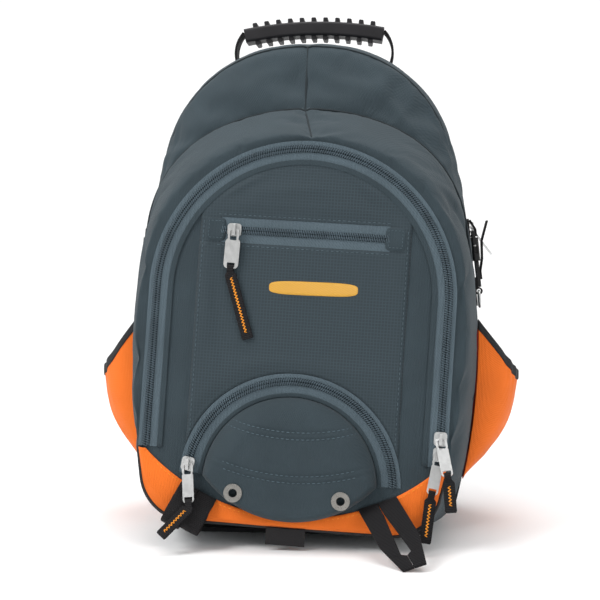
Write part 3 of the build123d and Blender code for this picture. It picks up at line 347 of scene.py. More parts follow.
# %% Arch sections
BELLY_Y, SEAM_Y = 5.0, -25.0
FLOOR_Z, SIDE_R, WIDEST_Z = 4.0, 700.0, 190.0
BODY = dict(half=172.0, top=489.0, top_r=215.0, shoulder_r=135.0, floor=FLOOR_Z, corner_r=38.0)
SEAM = dict(half=169.0, top=420.0, top_r=210.0, shoulder_r=125.0, floor=FLOOR_Z, corner_r=38.0)
FACE = dict(half=154.0, top=389.0, top_r=168.0, shoulder_r=142.0, floor=20.0, corner_r=46.0)


def arc(centre, radius, start, end, count=60):
    """Points on a circle between two directions, in radians."""
    angle = np.linspace(start, end, count)
    return np.stack([centre[0] + radius * np.cos(angle), centre[1] + radius * np.sin(angle)], -1)


def heading(here, there):
    """Direction from one point to another."""
    return math.atan2(there[1] - here[1], there[0] - here[0])


def arch_line(section, count, grow=0.0):
    """Evenly spaced points round an arch, from the middle of its floor up the right side and back."""
    s = section
    side = (s["half"] - SIDE_R, WIDEST_Z)
    crown = (0.0, s["top"] - s["top_r"])
    reach = SIDE_R - s["shoulder_r"]
    inner = s["top_r"] - s["shoulder_r"]
    gap = math.dist(side, crown)
    along = (reach ** 2 - inner ** 2 + gap ** 2) / (2 * gap)
    off = math.sqrt(reach ** 2 - along ** 2)
    ux, uy = (crown[0] - side[0]) / gap, (crown[1] - side[1]) / gap
    shoulder = (side[0] + along * ux - off * uy, side[1] + along * uy + off * ux)
    corner_z = s["floor"] + s["corner_r"]
    run = math.sqrt((SIDE_R - s["corner_r"]) ** 2 - (corner_z - WIDEST_Z) ** 2)
    corner = (side[0] + run, corner_z)
    low, high, peak = heading(side, corner), heading(side, shoulder), heading(crown, shoulder)
    half = np.vstack([
        [[0.0, s["floor"] - grow]],
        arc(corner, s["corner_r"] + grow, -math.pi / 2, low),
        arc(side, SIDE_R + grow, low, high, 200),
        arc(shoulder, s["shoulder_r"] + grow, high, peak, 120),
        arc(crown, s["top_r"] + grow, peak, math.pi / 2, 120),
    ])
    length = np.append(0.0, np.cumsum(np.hypot(*np.diff(half, axis=0).T)))
    at = np.linspace(0.0, length[-1], count // 2 + 1)
    right = np.stack([np.interp(at, length, half[:, 0]), np.interp(at, length, half[:, 1])], -1)
    left = right[-2:0:-1] * (-1.0, 1.0)
    return np.vstack([right, left])


def between(first, last, share):
    """The section that lies a share of the way from one to another."""
    return {key: first[key] + (last[key] - first[key]) * share for key in first}


AROUND = 320
print("round the bag", round(float(np.hypot(*np.diff(arch_line(BODY, AROUND), axis=0).T).sum())), "mm")

# %% [markdown]
# The front face is a flat panel that rakes back at its top and hangs a little off level, as the front of a
# soft bag does. Its own axes are across, up and out, so each zip, seam and patch on it is drawn flat and
# carried there by one function.

# %% The front face's own axes
RAKE, LEAN = math.radians(5.0), math.radians(3.4)
FRONT_AT = np.array([-12.0, -120.0, 0.0])
upward = np.array([0.0, math.sin(RAKE), math.cos(RAKE)])
FRONT_OUT = np.array([0.0, -math.cos(RAKE), math.sin(RAKE)])
FRONT_ACROSS = np.array([1.0, 0.0, 0.0]) * math.cos(LEAN) - upward * math.sin(LEAN)
FRONT_UP = np.cross(FRONT_OUT, FRONT_ACROSS)


def on_front(x, y, out):
    """Points of the front face's axes, in millimetres, as points of the frame, in metres."""
    x, y, out = np.broadcast_arrays(x, y, out)
    spot = FRONT_AT + x[..., None] * FRONT_ACROSS + y[..., None] * FRONT_UP + out[..., None] * FRONT_OUT
    return spot * MM


ARCH_HALF, ARCH_TOP, ARCH_FOOT = 138.0, 378.0, 88.0
SPRING = ARCH_TOP - ARCH_HALF
MOON_R, MOON_Z, MOON_END = 97.0, 61.0, math.radians(3.0)
COIL_HALF, TAPE_IN, TAPE_OUT = 3.5, 11.0, 4.0
WINDOW_Z, WINDOW_HALF, WINDOW_H = 297.0, 80.0, 24.0
print("front face leans", round(math.degrees(LEAN), 1), "degrees, rakes", round(math.degrees(RAKE), 1))

# %% [markdown]
# ## How the front's cloth lies
# The front isn't a hard plate. Its cloth swells a little between the zips, creases run from the corners of
# the zipped opening, and it is pulled flat where a zip is sewn in. It also stays low where the opening's tab
# sweeps as its slider runs. One height function says all of that, so the ground cloth, the ripstop panel, the
# stitches and the patch lie on each other without cutting through.

# %% Height of the front's cloth
PANEL_HALF, FADE = 100.0, 14.0


def arch_depth(x, y):
    """How far a point lies inside the tall zip: its half width less the distance from the arch's spine."""
    return ARCH_HALF - np.where(y > SPRING, np.hypot(x, y - SPRING), np.abs(x))


def moon_reach(x, y):
    """How far a point lies outside the half-moon zip's centre line."""
    return np.hypot(x, y - MOON_Z) - MOON_R


def crease(x, y, middle, turn, length, width):
    """A soft ridge: a bell curve across its width, and a longer one along its length."""
    turn = math.radians(turn)
    dx, dy = x - middle[0], y - middle[1]
    along = dx * math.cos(turn) + dy * math.sin(turn)
    across = dy * math.cos(turn) - dx * math.sin(turn)
    return np.exp(-(along / length) ** 2 - (across / width) ** 2)


def creases(x, y, rows):
    """Sum of creases; a row is a height, a middle, a turn in degrees, a length and a width."""
    return sum(row[0] * crease(x, y, *row[1:]) for row in rows)


# %% One height function for the front
FRONT_CREASES = (
    (2.9, (70, 338), -38, 24, 5), (-2.2, (60, 330), -38, 24, 5), (1.4, (84, 262), 78, 42, 6),
    (-1.0, (72, 250), 80, 46, 6), (1.4, (-86, 225), 96, 50, 6), (-1.0, (-74, 205), 98, 44, 6),
    (1.2, (30, 205), 24, 60, 9), (-0.9, (42, 186), 22, 60, 9), (2.2, (-62, 342), 32, 24, 5),
    (0.9, (-10, 338), 4, 40, 6),
)


def relief(x, y):
    """Cloth height over the front plane: a puff in the arch plus creases, held to 0 at zips and window."""
    inside = arch_depth(x, y) - COIL_HALF - TAPE_IN
    puff = 2.0 * ease(inside / 26.0)
    folds = creases(x, y, FRONT_CREASES)
    seam = 2.0 * np.exp(-((np.abs(x) - PANEL_HALF) / 2.2) ** 2)
    off_x = np.maximum(np.abs(x) - WINDOW_HALF - 4.0, 0.0)
    off_y = np.maximum(np.abs(y - WINDOW_Z) - WINDOW_H / 2 - 1.0, 0.0)
    window = ease(np.hypot(off_x, off_y) / FADE)
    moon = ease((moon_reach(x, y) - COIL_HALF - TAPE_OUT) / FADE)
    tab_sweep = 0.88 * ease((y - 170.0) / 15.0) * ease((298.0 - y) / 6.0) * ease((x + 96.0) / 20.0)
    return ((puff + folds) * (1.0 - tab_sweep) - seam) * window * moon * ease(inside / 8.0)


probe = relief(*np.meshgrid(np.linspace(-120, 120, 60), np.linspace(90, 370, 60)))
lowest, highest = float(probe.min()), float(probe.max())
print(f"front cloth lies {lowest:.2f} to {highest:.2f} mm off its plane")

# %% [markdown]
# ## Swollen cloth
# A packed bag's cloth bows out between its seams. Blender's Cloth does this well: the seams are pinned, a
# little air pressure fills the panels, and 20 steps settle it. How far each point may move is capped, so
# the cloth stays out of the zips, the buckles and the side pockets. The cloth is also cut slightly large,
# which puckers it beside the seams.

# %% Simulation with pinned seams
def read_points(mesh):
    """A mesh's points as an array."""
    flat = np.empty(len(mesh.vertices) * 3, np.float32)
    mesh.vertices.foreach_get("co", flat)
    return flat.reshape(-1, 3).astype(float)


def swell(piece, free, most, pressure=4.0, loose=0.03, last=20):
    """Pressure on the pinned cloth, then each point's move cut to most metres times its freedom, 0 to 1."""
    start = read_points(piece.data)
    pins = piece.vertex_groups.new(name="pins")
    pins.add(np.flatnonzero(free < 0.02).tolist(), 1.0, "REPLACE")
    cloth = piece.modifiers.new("cloth", "CLOTH")
    cloth.settings.vertex_group_mass = "pins"
    cloth.settings.use_pressure = True
    cloth.settings.uniform_pressure_force = pressure
    cloth.settings.shrink_min = -loose
    cloth.settings.bending_stiffness = 0.2
    cloth.settings.effector_weights.gravity = 0.0
    cloth.point_cache.frame_start = 1
    cloth.point_cache.frame_end = last
    for step in range(1, last + 1):
        bpy.context.scene.frame_set(step)
    settled = piece.evaluated_get(bpy.context.evaluated_depsgraph_get())
    move = read_points(settled.to_mesh()) - start
    settled.to_mesh_clear()
    piece.modifiers.remove(cloth)
    piece.vertex_groups.remove(pins)
    bpy.context.scene.frame_set(1)
    length = np.linalg.norm(move, axis=1) + 1e-9
    room = most * np.clip(free, 0.0, 1.0)
    move *= (room * np.tanh(length / np.maximum(room, 1e-6)) / length)[:, None]
    piece.data.vertices.foreach_set("co", (start + move).astype(np.float32).ravel())
    piece.data.update()
    print(piece.name, "swelled", round(float(np.linalg.norm(move, axis=1).max()) / MM, 1), "mm")


# %% [markdown]
# ## The main compartment
# One closed bag of arch sections: straight from the back panel to the crest, then tapering to the seam with
# the front compartment. Its back edge is rounded over, and a shallow channel runs along each seam, where
# thread pulls the cloth in.

# %% Main compartment
turned_in = {112.0: -8.0, 111.5: -4.0, 110.0: -1.5, 107.0: -0.3}
depths = np.concatenate([[112.0, 111.5, 110.0, 107.0], np.arange(102.0, 11.0, -6.0),
                         [9.0, 7.0, 5.0, 3.0, 0.5], np.arange(-4.0, -22.0, -4.0), [-22.5, -25.0]])


def main_ring(y):
    """The section at one depth: the body's arch behind the crest, and a blend to the seam's in front."""
    share = np.clip((BELLY_Y - y) / (BELLY_Y - SEAM_Y), 0.0, 1.0)
    line = arch_line(between(BODY, SEAM, share), AROUND, turned_in.get(float(y), 0.0))
    return np.stack([line[:, 0], np.full(AROUND, y), line[:, 1]], -1)


rings = np.stack([main_ring(y) for y in depths])
middle = np.array([0.0, 0.0, 230.0])
away = rings - middle
away[..., 1] = 0.0
away /= np.linalg.norm(away, axis=-1, keepdims=True)
high = ease((rings[..., 2] - 300.0) / 60.0)
crest_channel = 2.2 * np.exp(-((rings[..., 1] - BELLY_Y) / 2.4) ** 2)
before_crest = ease((BELLY_Y + 2.0 - rings[..., 1]) / 4.0)
middle_channel = 2.4 * np.exp(-(rings[..., 0] / 2.6) ** 2) * high * before_crest
print("main compartment has", len(rings), "sections from the back to the seam")

# %% Wrinkled crown, swelling and smoothing
px, pz = rings[..., 0], rings[..., 2]
CROWN_CREASES = (
    (3.2, (-80, 410), 16, 30, 5), (-2.2, (-80, 399), 16, 30, 5), (2.8, (-112, 386), 42, 26, 5),
    (-2.0, (-104, 378), 42, 26, 5), (2.8, (98, 408), -52, 30, 5), (-2.2, (90, 400), -52, 30, 5),
    (2.4, (58, 441), -18, 28, 5), (2.2, (-56, 446), 22, 26, 5),
)
wrinkle = creases(px, pz, CROWN_CREASES)
wrinkle = wrinkle * ease((rings[..., 1] - SEAM_Y - 1.0) / 7.0) * ease((BELLY_Y - rings[..., 1]) / 5.0)
slope_out = np.array([0.0, -0.7, 0.7])
sunk = rings - away * (crest_channel + middle_channel)[..., None] + wrinkle[..., None] * slope_out
points, faces = closed_tube(sunk * MM)
main_cloth = new_piece("main_compartment_cloth", points, faces, slate_cloth)
y, z = points[:, 1] / MM, points[:, 2] / MM
clear_of_side = np.maximum(ease((z - 322.0) / 40.0), 0.45 * ease((BELLY_Y - y) / 8.0))
off_seams = ease(np.abs(y - BELLY_Y) / 5.0) * ease((y - SEAM_Y) / 7.0) * ease((50.0 - y) / 14.0)
off_middle = np.where(y < BELLY_Y, ease(np.abs(points[:, 0]) / MM / 5.0), 1.0)
swell(main_cloth, clear_of_side * off_seams * off_middle * ease((z - 20.0) / 20.0), 7.0 * MM)
subdivide(main_cloth)
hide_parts("main_compartment")
print("main compartment", len(points), "points")

# %% [markdown]
# ## The front compartment
# It runs from that seam to the flat front, whose edge is rounded over. The gusset round it and the strip
# outside the tall zip are free to swell. Inside the zip the points take their height from the front's own
# function, and stay pinned.

# %% Front compartment
seam_ring = main_ring(SEAM_Y)
edge = arch_line(FACE, AROUND)
edge_round = 3.5
share = np.concatenate([np.linspace(0.0, 0.94, 17), [0.985]])[:, None, None]
gusset = (1.0 - share) * seam_ring + share * on_front(edge[:, 0], edge[:, 1], 0.0) / MM
heart = np.array([0.0, 195.0])
inward = np.concatenate([[0.988, 0.965], np.linspace(0.94, 0.03, 34)])[:, None, None]
flat = heart + inward * (edge - heart)
from_edge = (1.0 - inward[..., 0]) * np.linalg.norm(edge - heart, axis=-1)
height = relief(flat[..., 0], flat[..., 1]) - edge_round * (1.0 - ease(from_edge / 11.0))
face = on_front(flat[..., 0], flat[..., 1], height) / MM
column = np.arange(AROUND)
COLUMN_W = 4.5
from_middle = np.abs(column - AROUND // 2) * COLUMN_W
channel = 2.4 * np.exp(-(from_middle / 3.0) ** 2)[None, :] * ease((gusset[..., 2] - 320.0) / 30.0)
down = np.array([0.0, 0.45, -0.9])
gusset = gusset + channel[..., None] * down
points, faces = closed_tube(np.concatenate([gusset, face]) * MM)
front_cloth = new_piece("front_compartment_cloth", points, faces, slate_cloth)
strip = ease((-arch_depth(flat[..., 0], flat[..., 1]) - COIL_HALF - TAPE_OUT) / 4.0)
strip = np.where(flat[..., 1] > ARCH_FOOT, strip, 0.0)
grown = np.concatenate([ease(share[..., 0] / 0.12) * ease(from_middle / 9.0), strip])
grown = grown.ravel() * ease((points[:, 2] / MM - 30.0) / 40.0)
swell(front_cloth, grown, 5.5 * MM)
subdivide(front_cloth)
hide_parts("front_compartment")
print("front compartment", len(points), "points")

# %% [markdown]
# ## Zips
# A nylon zip has two rows of turns, each a wire that circles a flat oval as it runs along, half a turn out
# of step with each other. The same function serves a straight zip, an arch and a half circle, because it
# only needs the line, the direction across it and the direction out of the cloth.

# %% Coils
TURN = 2.2
WIRE = 0.5


def coil(name, line, across, out, replaced):
    """Two wires: each point is the line, plus an oval across and out that turns once every TURN mm."""
    run = np.append(0.0, np.cumsum(np.linalg.norm(np.diff(line, axis=0), axis=1)))
    at = np.arange(0.0, run[-1], TURN / 8.0)
    centre, side, up = (np.stack([np.interp(at, run, field[:, k]) for k in range(3)], -1)
                        for field in (line, across, out))
    angle = 2.0 * math.pi * at / TURN
    around = np.arange(5) * 2.0 * math.pi / 5.0
    pieces, shapes, base = [], [], 0
    for row in (-1.0, 1.0):
        turn = angle + (row > 0) * math.pi
        wire = (centre + side * (row * 1.75 + 1.4 * np.cos(turn))[:, None]
                + up * (1.7 + 0.8 * np.sin(turn))[:, None])
        ahead = np.gradient(wire, axis=0)
        ahead /= np.linalg.norm(ahead, axis=1, keepdims=True)
        first = np.cross(ahead, up)
        first /= np.linalg.norm(first, axis=1, keepdims=True)
        second = np.cross(ahead, first)
        skin = (wire[:, None] + WIRE * (np.cos(around)[None, :, None] * first[:, None]
                                        + np.sin(around)[None, :, None] * second[:, None]))
        points, faces = closed_tube(skin * MM)
        pieces.append(points)
        shapes += [np.asarray(f) + base for f in faces]
        base += len(points)
    piece = new_piece(name, np.vstack(pieces), shapes, coil_nylon)
    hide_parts(replaced)
    print(name, round(float(run[-1])), "mm,", round(float(run[-1] / TURN)), "turns a row")


def front_line(x, y, side_x, side_y):
    """A line on the front plane in millimetres of the frame, with its directions across and out."""
    line = on_front(x, y, 0.0) / MM
    across = np.asarray(side_x)[:, None] * FRONT_ACROSS + np.asarray(side_y)[:, None] * FRONT_UP
    return line, across, np.broadcast_to(FRONT_OUT, line.shape)


def arch_path(half, foot=ARCH_FOOT):
    """Points of the tall arch: up the right leg, over a half circle, down the left leg."""
    sweep = np.linspace(0.0, math.pi, 181)
    rise = np.linspace(foot, SPRING, 40)[:-1]
    x = np.concatenate([np.full(39, half), half * np.cos(sweep), np.full(39, -half)])
    y = np.concatenate([rise, SPRING + half * np.sin(sweep), rise[::-1]])
    return x, y


# %% The four coils
x, y = arch_path(ARCH_HALF)
side_x = np.where(y > SPRING, x / ARCH_HALF, np.sign(x))
side_y = np.where(y > SPRING, (y - SPRING) / ARCH_HALF, 0.0)
coil("front_zip_turns", *front_line(x, y, side_x, side_y), "front_zip_coil")
sweep = np.linspace(MOON_END, math.pi - MOON_END, 160)
coil("moon_zip_turns", *front_line(MOON_R * np.cos(sweep), MOON_Z + MOON_R * np.sin(sweep),
                                   np.cos(sweep), np.sin(sweep)), "moon_zip_coil")
x = np.linspace(-WINDOW_HALF, WINDOW_HALF, 40)
coil("panel_zip_turns", *front_line(x, np.full(40, WINDOW_Z), np.zeros(40), np.ones(40)), "panel_zip_coil")
MAIN_ZIP_Y, MAIN_ZIP_LOW = 74.0, 222.0
loop = arch_line(BODY, 720, 0.3)
loop = loop[loop[:, 1] > MAIN_ZIP_LOW]
ahead = np.gradient(loop, axis=0)
ahead /= np.linalg.norm(ahead, axis=1, keepdims=True)
line = np.stack([loop[:, 0], np.full(len(loop), MAIN_ZIP_Y), loop[:, 1]], -1)
out = np.stack([ahead[:, 1], np.zeros(len(loop)), -ahead[:, 0]], -1)
coil("main_zip_turns", line, np.broadcast_to([0.0, 1.0, 0.0], line.shape), out, "main_zip_coil")

# %% [markdown]
# ## The ripstop panel
# The middle of the front is a second layer of ripstop, sewn down along both sides, with an opening for the
# pocket's zip. Each of its four fields is a ruled surface between a lower and an upper edge, lying one
# millimetre over the ground cloth.

# %% Panel, ruled between two edges
MOON_EDGE = MOON_R + COIL_HALF + TAPE_OUT + 0.5
TAPE_EDGE = ARCH_HALF - COIL_HALF - TAPE_IN - 0.5


def ruled(name, node_name, x, low, high, lift, thick, material, rows=40):
    """A field of cloth: columns at x, each running from low to high, lying on the front's own height."""
    fields = [np.broadcast_arrays(a, b, c) for a, b, c in zip(x, low, high)]
    points, faces, flats, base = [], [], [], 0
    for one_x, one_low, one_high in fields:
        share = np.linspace(0.0, 1.0, rows)[:, None]
        px = np.broadcast_to(one_x, (rows, len(one_x)))
        py = one_low + (one_high - one_low) * share
        points.append(on_front(px, py, relief(px, py) + lift).reshape(-1, 3))
        flats.append(np.stack([px, py], -1).reshape(-1, 2) * MM)
        faces.append(grid_faces(rows, len(one_x)) + base)
        base += rows * len(one_x)
    piece = new_piece(name, np.vstack(points), np.vstack(faces), material, uv=np.vstack(flats))
    solidify(piece, thick * MM)
    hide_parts(node_name)
    return piece


wide = np.linspace(-PANEL_HALF, PANEL_HALF, 70)
ends = [np.linspace(-PANEL_HALF, -WINDOW_HALF, 8), np.linspace(WINDOW_HALF, PANEL_HALF, 8)]
under, over = WINDOW_Z - WINDOW_H / 2, WINDOW_Z + WINDOW_H / 2
moon_top = MOON_Z + np.sqrt(MOON_EDGE ** 2 - wide ** 2)
arch_rim = SPRING + np.sqrt(TAPE_EDGE ** 2 - wide ** 2)
lower_edges = [moon_top, np.full_like(wide, over), *np.full_like(ends, under)]
upper_edges = [np.full_like(wide, under), arch_rim, *np.full_like(ends, over)]
panel = ruled("ripstop_panel", "centre_panel", [wide, wide, *ends], lower_edges, upper_edges, 1.1, 0.9,
              panel_cloth)
print("ripstop panel", len(panel.data.vertices), "points in four fields")

# %% [markdown]
# ## Stitches
# A seam shows as a row of short threads, each sunk at its ends. One small spindle is worked out once and
# carried to every stitch's place, so a whole row is a single piece.

# %% Stitch rows
def stitches(name, line, out, material, length=3.0, gap=1.7, width=0.75, body=ROOT):
    """Spindles along a line: each ring's radius follows a half ellipse, and its middle is lifted."""
    run = np.append(0.0, np.cumsum(np.linalg.norm(np.diff(line, axis=0), axis=1)))
    starts = np.arange(gap / 2, run[-1] - length, length + gap)
    share = np.linspace(0.0, 1.0, 5)
    at = starts[:, None] + length * share
    centre = np.stack([np.interp(at, run, line[:, k]) for k in range(3)], -1)
    lift = np.stack([np.interp(at, run, out[:, k]) for k in range(3)], -1)
    ahead = centre[:, -1:] - centre[:, :1]
    ahead /= np.linalg.norm(ahead, axis=-1, keepdims=True)
    aside = np.cross(ahead, lift)
    bulge = np.array([0.35, 0.85, 1.0, 0.85, 0.35]) * width / 2
    turn = np.arange(6) * math.pi / 3
    ring = (aside[:, :, None] * np.cos(turn)[None, None, :, None]
            + lift[:, :, None] * 0.8 * np.sin(turn)[None, None, :, None])
    skin = (centre[:, :, None] + ring * bulge[None, :, None, None]
            + lift[:, :, None] * (bulge - 0.15)[None, :, None, None])
    one_points, one_faces = closed_tube(skin[0])
    size = len(one_points)
    faces = [tuple(corner + k * size for corner in face) for k in range(len(starts)) for face in one_faces]
    new_piece(name, skin.reshape(-1, 3) * MM, faces, material, body)


def front_stitches(name, x, y, lift, material, **sizes):
    """A row on the front's cloth."""
    x, y = np.asarray(x, float), np.asarray(y, float)
    line = on_front(x, y, relief(x, y) + lift) / MM
    stitches(name, line, np.broadcast_to(FRONT_OUT, line.shape), material, **sizes)


SEAM_IN, SEAM_OUT = 3.4, 2.6
leg = np.linspace(104.0, 308.0, 60)
for side, tag in ((-1.0, "left"), (1.0, "right")):
    beside = side * np.full_like(leg, PANEL_HALF - SEAM_IN)
    front_stitches(f"panel_stitches_{tag}", beside, leg, 1.15, slate_thread, width=0.6)
edge_x = np.linspace(-WINDOW_HALF - 4, WINDOW_HALF + 4, 40)
for tag, edge_y in (("high", over + SEAM_OUT), ("low", under - SEAM_OUT)):
    level = np.full_like(edge_x, edge_y)
    front_stitches(f"window_stitches_{tag}", edge_x, level, 1.15, slate_thread, width=0.6)
print("panel seams", round(float(np.ptp(leg))), "mm long,", round(2 * PANEL_HALF), "mm apart")

# %% [markdown]
# ## Small pads of cloth
# The zip's ends are covered by folded tabs, and the panel carries a blank embroidered patch. Both are low
# pillows: a rounded rectangle whose height falls away at its edge as a quarter ellipse.

# %% Pillows on the front
def pillow(name, centre, size, height, lift, material, turn=0.0, power=5.0):
    """Superellipse rings from the rim to the middle, raised by sqrt(1 - ring^6) of the height."""
    angle = np.linspace(0.0, 2.0 * math.pi, 72, endpoint=False)
    ring = np.array([1.0, 0.995, 0.97, 0.92, 0.84, 0.7, 0.5, 0.25, 0.06])[:, None]
    rim = (np.abs(np.cos(angle)) ** power + np.abs(np.sin(angle)) ** power) ** (-1.0 / power)
    px = ring * rim * np.cos(angle) * size[0] / 2
    py = ring * rim * np.sin(angle) * size[1] / 2
    c, s = math.cos(turn), math.sin(turn)
    x, y = centre[0] + px * c - py * s, centre[1] + px * s + py * c
    top = lift + height * np.sqrt(np.clip(1.0 - ring ** 6, 0.0, 1.0)) + relief(x, y)
    skirt = on_front(x[:1], y[:1], lift - 0.4 + relief(x[:1], y[:1]))
    points, faces = closed_tube(np.concatenate([skirt, on_front(x, y, top)]))
    uv = np.concatenate([np.stack([px, py], -1)[:1], np.stack([px, py], -1)]).reshape(-1, 2)
    return new_piece(name, points, faces, material, uv=uv * MM)


for side, tag in ((-1.0, "left"), (1.0, "right")):
    tab_x = side * (WINDOW_HALF + 5.0)
    tab = pillow(f"zip_end_tab_{tag}", (tab_x, WINDOW_Z), (19.0, 22.0), 1.5, 0.9, slate_cloth)
    corner = np.array([[-6.5, -8.0], [6.5, -8.0], [6.5, 8.0], [-6.5, 8.0], [-6.5, -8.0]])
    walk = np.linspace(0.0, 4.0, 81)
    sx, sy = np.interp(walk, range(5), corner[:, 0]), np.interp(walk, range(5), corner[:, 1])
    front_stitches(f"zip_end_stitches_{tag}", tab_x + sx, WINDOW_Z + sy, 2.4, slate_thread,
                   length=2.2, gap=1.2, width=0.55)


# %% The blank patch in satin stitch
def satin(name, colour, thread=0.0011):
    """Satin stitch: close slanting threads, shiny along their length."""
    material, shader = finish(name, colour, 0.42, sheen=0.08)
    rows = stripes(material, thread, place(material, turn=(0.0, 0.0, 0.5), source="UV"))
    ramp = node(material, "ValToRGB", {"Fac": rows})
    ramp.color_ramp.elements[0].color = (*shade(colour, 0.62), 1.0)
    ramp.color_ramp.elements[1].color = (*shade(colour, 1.08), 1.0)
    material.node_tree.links.new(ramp.outputs["Color"], shader.inputs["Base Color"])
    bump(material, shader, rows, 0.8, 0.0004)
    return material


PATCH_AT, PATCH_SIZE = (11.0, 246.0), (84.0, 13.0)
patch_thread = satin("patch_satin", (0.78, 0.40, 0.035))
patch = pillow("blank_patch", PATCH_AT, PATCH_SIZE, 1.1, 1.0, patch_thread, turn=0.02, power=4.0)
print("blank patch", *PATCH_SIZE, "mm")

# %% [markdown]
# ## Orange trim and piping
# The trim is a crescent at the foot of the front, pointed at both upper corners. Its inner edge is one
# circle and its outer edge follows the bag's, so it is ruled between the two. Piping is a cord sewn into
# the seam beneath: a thin tube along the outline.

# %% The trim's crescent
TIP = (138.0, 86.0)
TRIM_MID, FOOT_MID, TRIM_AIM = 31.0, 200.0, np.array([0.0, 190.0])
rise = TIP[1] - TRIM_MID
trim_r = (TIP[0] ** 2 + rise ** 2) / (2.0 * rise)
trim_angle = math.asin(TIP[0] / trim_r)
outline = arch_line(FACE, 1200)
foot_part = outline[outline[:, 1] < TIP[1] + 1.0]
order = np.argsort(np.arctan2(foot_part[:, 0], FOOT_MID - foot_part[:, 1]))
foot_part = foot_part[order]
along = np.append(0.0, np.cumsum(np.hypot(*np.diff(foot_part, axis=0).T)))
t = np.linspace(0.0, 1.0, 161)
outer = np.stack([np.interp(t * along[-1], along, foot_part[:, k]) for k in range(2)], -1)
outer = outer + (TRIM_AIM - outer) * 0.004
sweep = trim_angle * (2.0 * t - 1.0)
inner = np.stack([trim_r * np.sin(sweep), TRIM_MID + trim_r * (1.0 - np.cos(sweep))], -1)
share = np.linspace(0.0, 1.0, 12)[:, None, None]
flat_trim = inner + (outer - inner) * share
bulged = 1.0 + 1.3 * np.sin(math.pi * share[..., 0]) - 3.4 * ease((share[..., 0] - 0.72) / 0.28)
trim = new_piece("corner_trim_cloth", on_front(flat_trim[..., 0], flat_trim[..., 1], bulged).reshape(-1, 3),
                 grid_faces(*flat_trim.shape[:2])[:, ::-1], orange_cloth)
solidify(trim, 0.9 * MM, offset=0.0)
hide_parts("corner_trim")


# %% Piping along the foot
def tube(name, line, radius, material, sides=8):
    """A round cord along a line: rings square to its direction, held upright by a fixed side vector."""
    ahead = np.gradient(line, axis=0)
    ahead /= np.linalg.norm(ahead, axis=1, keepdims=True)
    first = np.cross(ahead, np.array([0.13, 0.97, 0.21]))
    first /= np.linalg.norm(first, axis=1, keepdims=True)
    second = np.cross(ahead, first)
    turn = np.arange(sides) * 2.0 * math.pi / sides
    skin = line[:, None] + radius * (first[:, None] * np.cos(turn)[None, :, None]
                                     + second[:, None] * np.sin(turn)[None, :, None])
    points, faces = closed_tube(skin * MM)
    return new_piece(name, points, faces, material)


tube("foot_piping", on_front(outer[:, 0], outer[:, 1], -2.6) / MM, 1.9, black_thread)
rim = inner + np.array([0.0, -3.0])
front_stitches("trim_stitches", rim[8:-8, 0], rim[8:-8, 1], 1.9, orange_thread, width=0.6)
print("trim's inner edge has a radius of", round(trim_r), "mm")

# %% [markdown]
# ## The half-moon pocket
# A stuffed pocket behind a half-round zip. Its outline is the zip's arc above and a shallower arc below.
# Rings shrink from that outline to the middle, and the height climbs as a quarter ellipse from the rim:
# slowly on the zip side, quickly at the foot. Two pairs of curved stitch rows press shallow channels into
# it, and the cloth lies flat round each eyelet.

# %% Half-moon pocket
POCKET_DEEP, POCKET_R, DROOP = 17.0, MOON_R - COIL_HALF - TAPE_IN - 0.3, 34.0
EYELET_AT = np.array([[-50.0, -9.0], [50.0, -9.0]])
SEAM_ROWS, ROW_BOW, ROW_DEEP, ROW_WIDE = (4.0, 10.4, 44.3, 50.7), 410.0, 0.8, 1.7
ROUND_FOOT, ROUND_ZIP, CROWN = 7.0, 24.0, 2.6
EYELET_FLAT, EYELET_DIP = 11.5, 7.0


def half_moon(count=280):
    """Outline in millimetres about the zip's centre, anticlockwise from the right end, evenly spaced."""
    end_x, end_y = POCKET_R * math.cos(MOON_END), POCKET_R * math.sin(MOON_END)
    drop = DROOP + end_y
    low_r = (end_x ** 2 + drop ** 2) / (2.0 * drop)
    swing = math.asin(end_x / low_r)
    top = arc((0.0, 0.0), POCKET_R, MOON_END, math.pi - MOON_END, 400)
    low = arc((0.0, low_r - DROOP), low_r, -math.pi / 2 - swing, -math.pi / 2 + swing, 300)
    line = np.vstack([top, low[1:]])
    run = np.append(0.0, np.cumsum(np.hypot(*np.diff(line, axis=0).T)))
    at = np.linspace(0.0, run[-1], count, endpoint=False)
    return np.stack([np.interp(at, run, line[:, k]) for k in range(2)], -1)


# %% Height of the half-moon's cloth
rim = half_moon()
print("half-moon outline", len(rim), "points")
core = np.array([0.0, 22.0])
ring = np.concatenate([[1.0, 0.995, 0.985], np.linspace(0.97, 0.03, 44)])[:, None, None]
flat = core + (rim - core) * ring
from_rim = (1.0 - ring[..., 0]) * np.linalg.norm(rim - core, axis=-1)
round_over = ROUND_FOOT + (ROUND_ZIP - ROUND_FOOT) * ease((rim[:, 1] + 4.0) / 40.0)
climb = np.clip(from_rim / round_over, 0.0, 1.0)
height = POCKET_DEEP * np.sqrt(1.0 - (1.0 - climb) ** 2)
mx, my = flat[..., 0], flat[..., 1]
height = height + CROWN * ease(from_rim / 60.0) * ease((my + 2.0) / 30.0)
for row in SEAM_ROWS:
    valley = np.exp(-((my - row - mx ** 2 / ROW_BOW) / ROW_WIDE) ** 2)
    height = height - ROW_DEEP * valley * ease((80.0 - np.abs(mx)) / 6.0) * ease(climb)
height = height + 0.9 * crease(mx, my, (-52, 30), 62, 22, 5) + 0.7 * crease(mx, my, (60, 28), 118, 22, 5)
for spot in EYELET_AT:
    off = np.hypot(mx - spot[0], my - spot[1])
    flatten = ease((EYELET_FLAT - off) / 3.0)
    height = height * (1.0 - flatten) + flatten * (POCKET_DEEP - 0.1)
    height = height - EYELET_DIP * ease((5.6 - off) / 2.4)


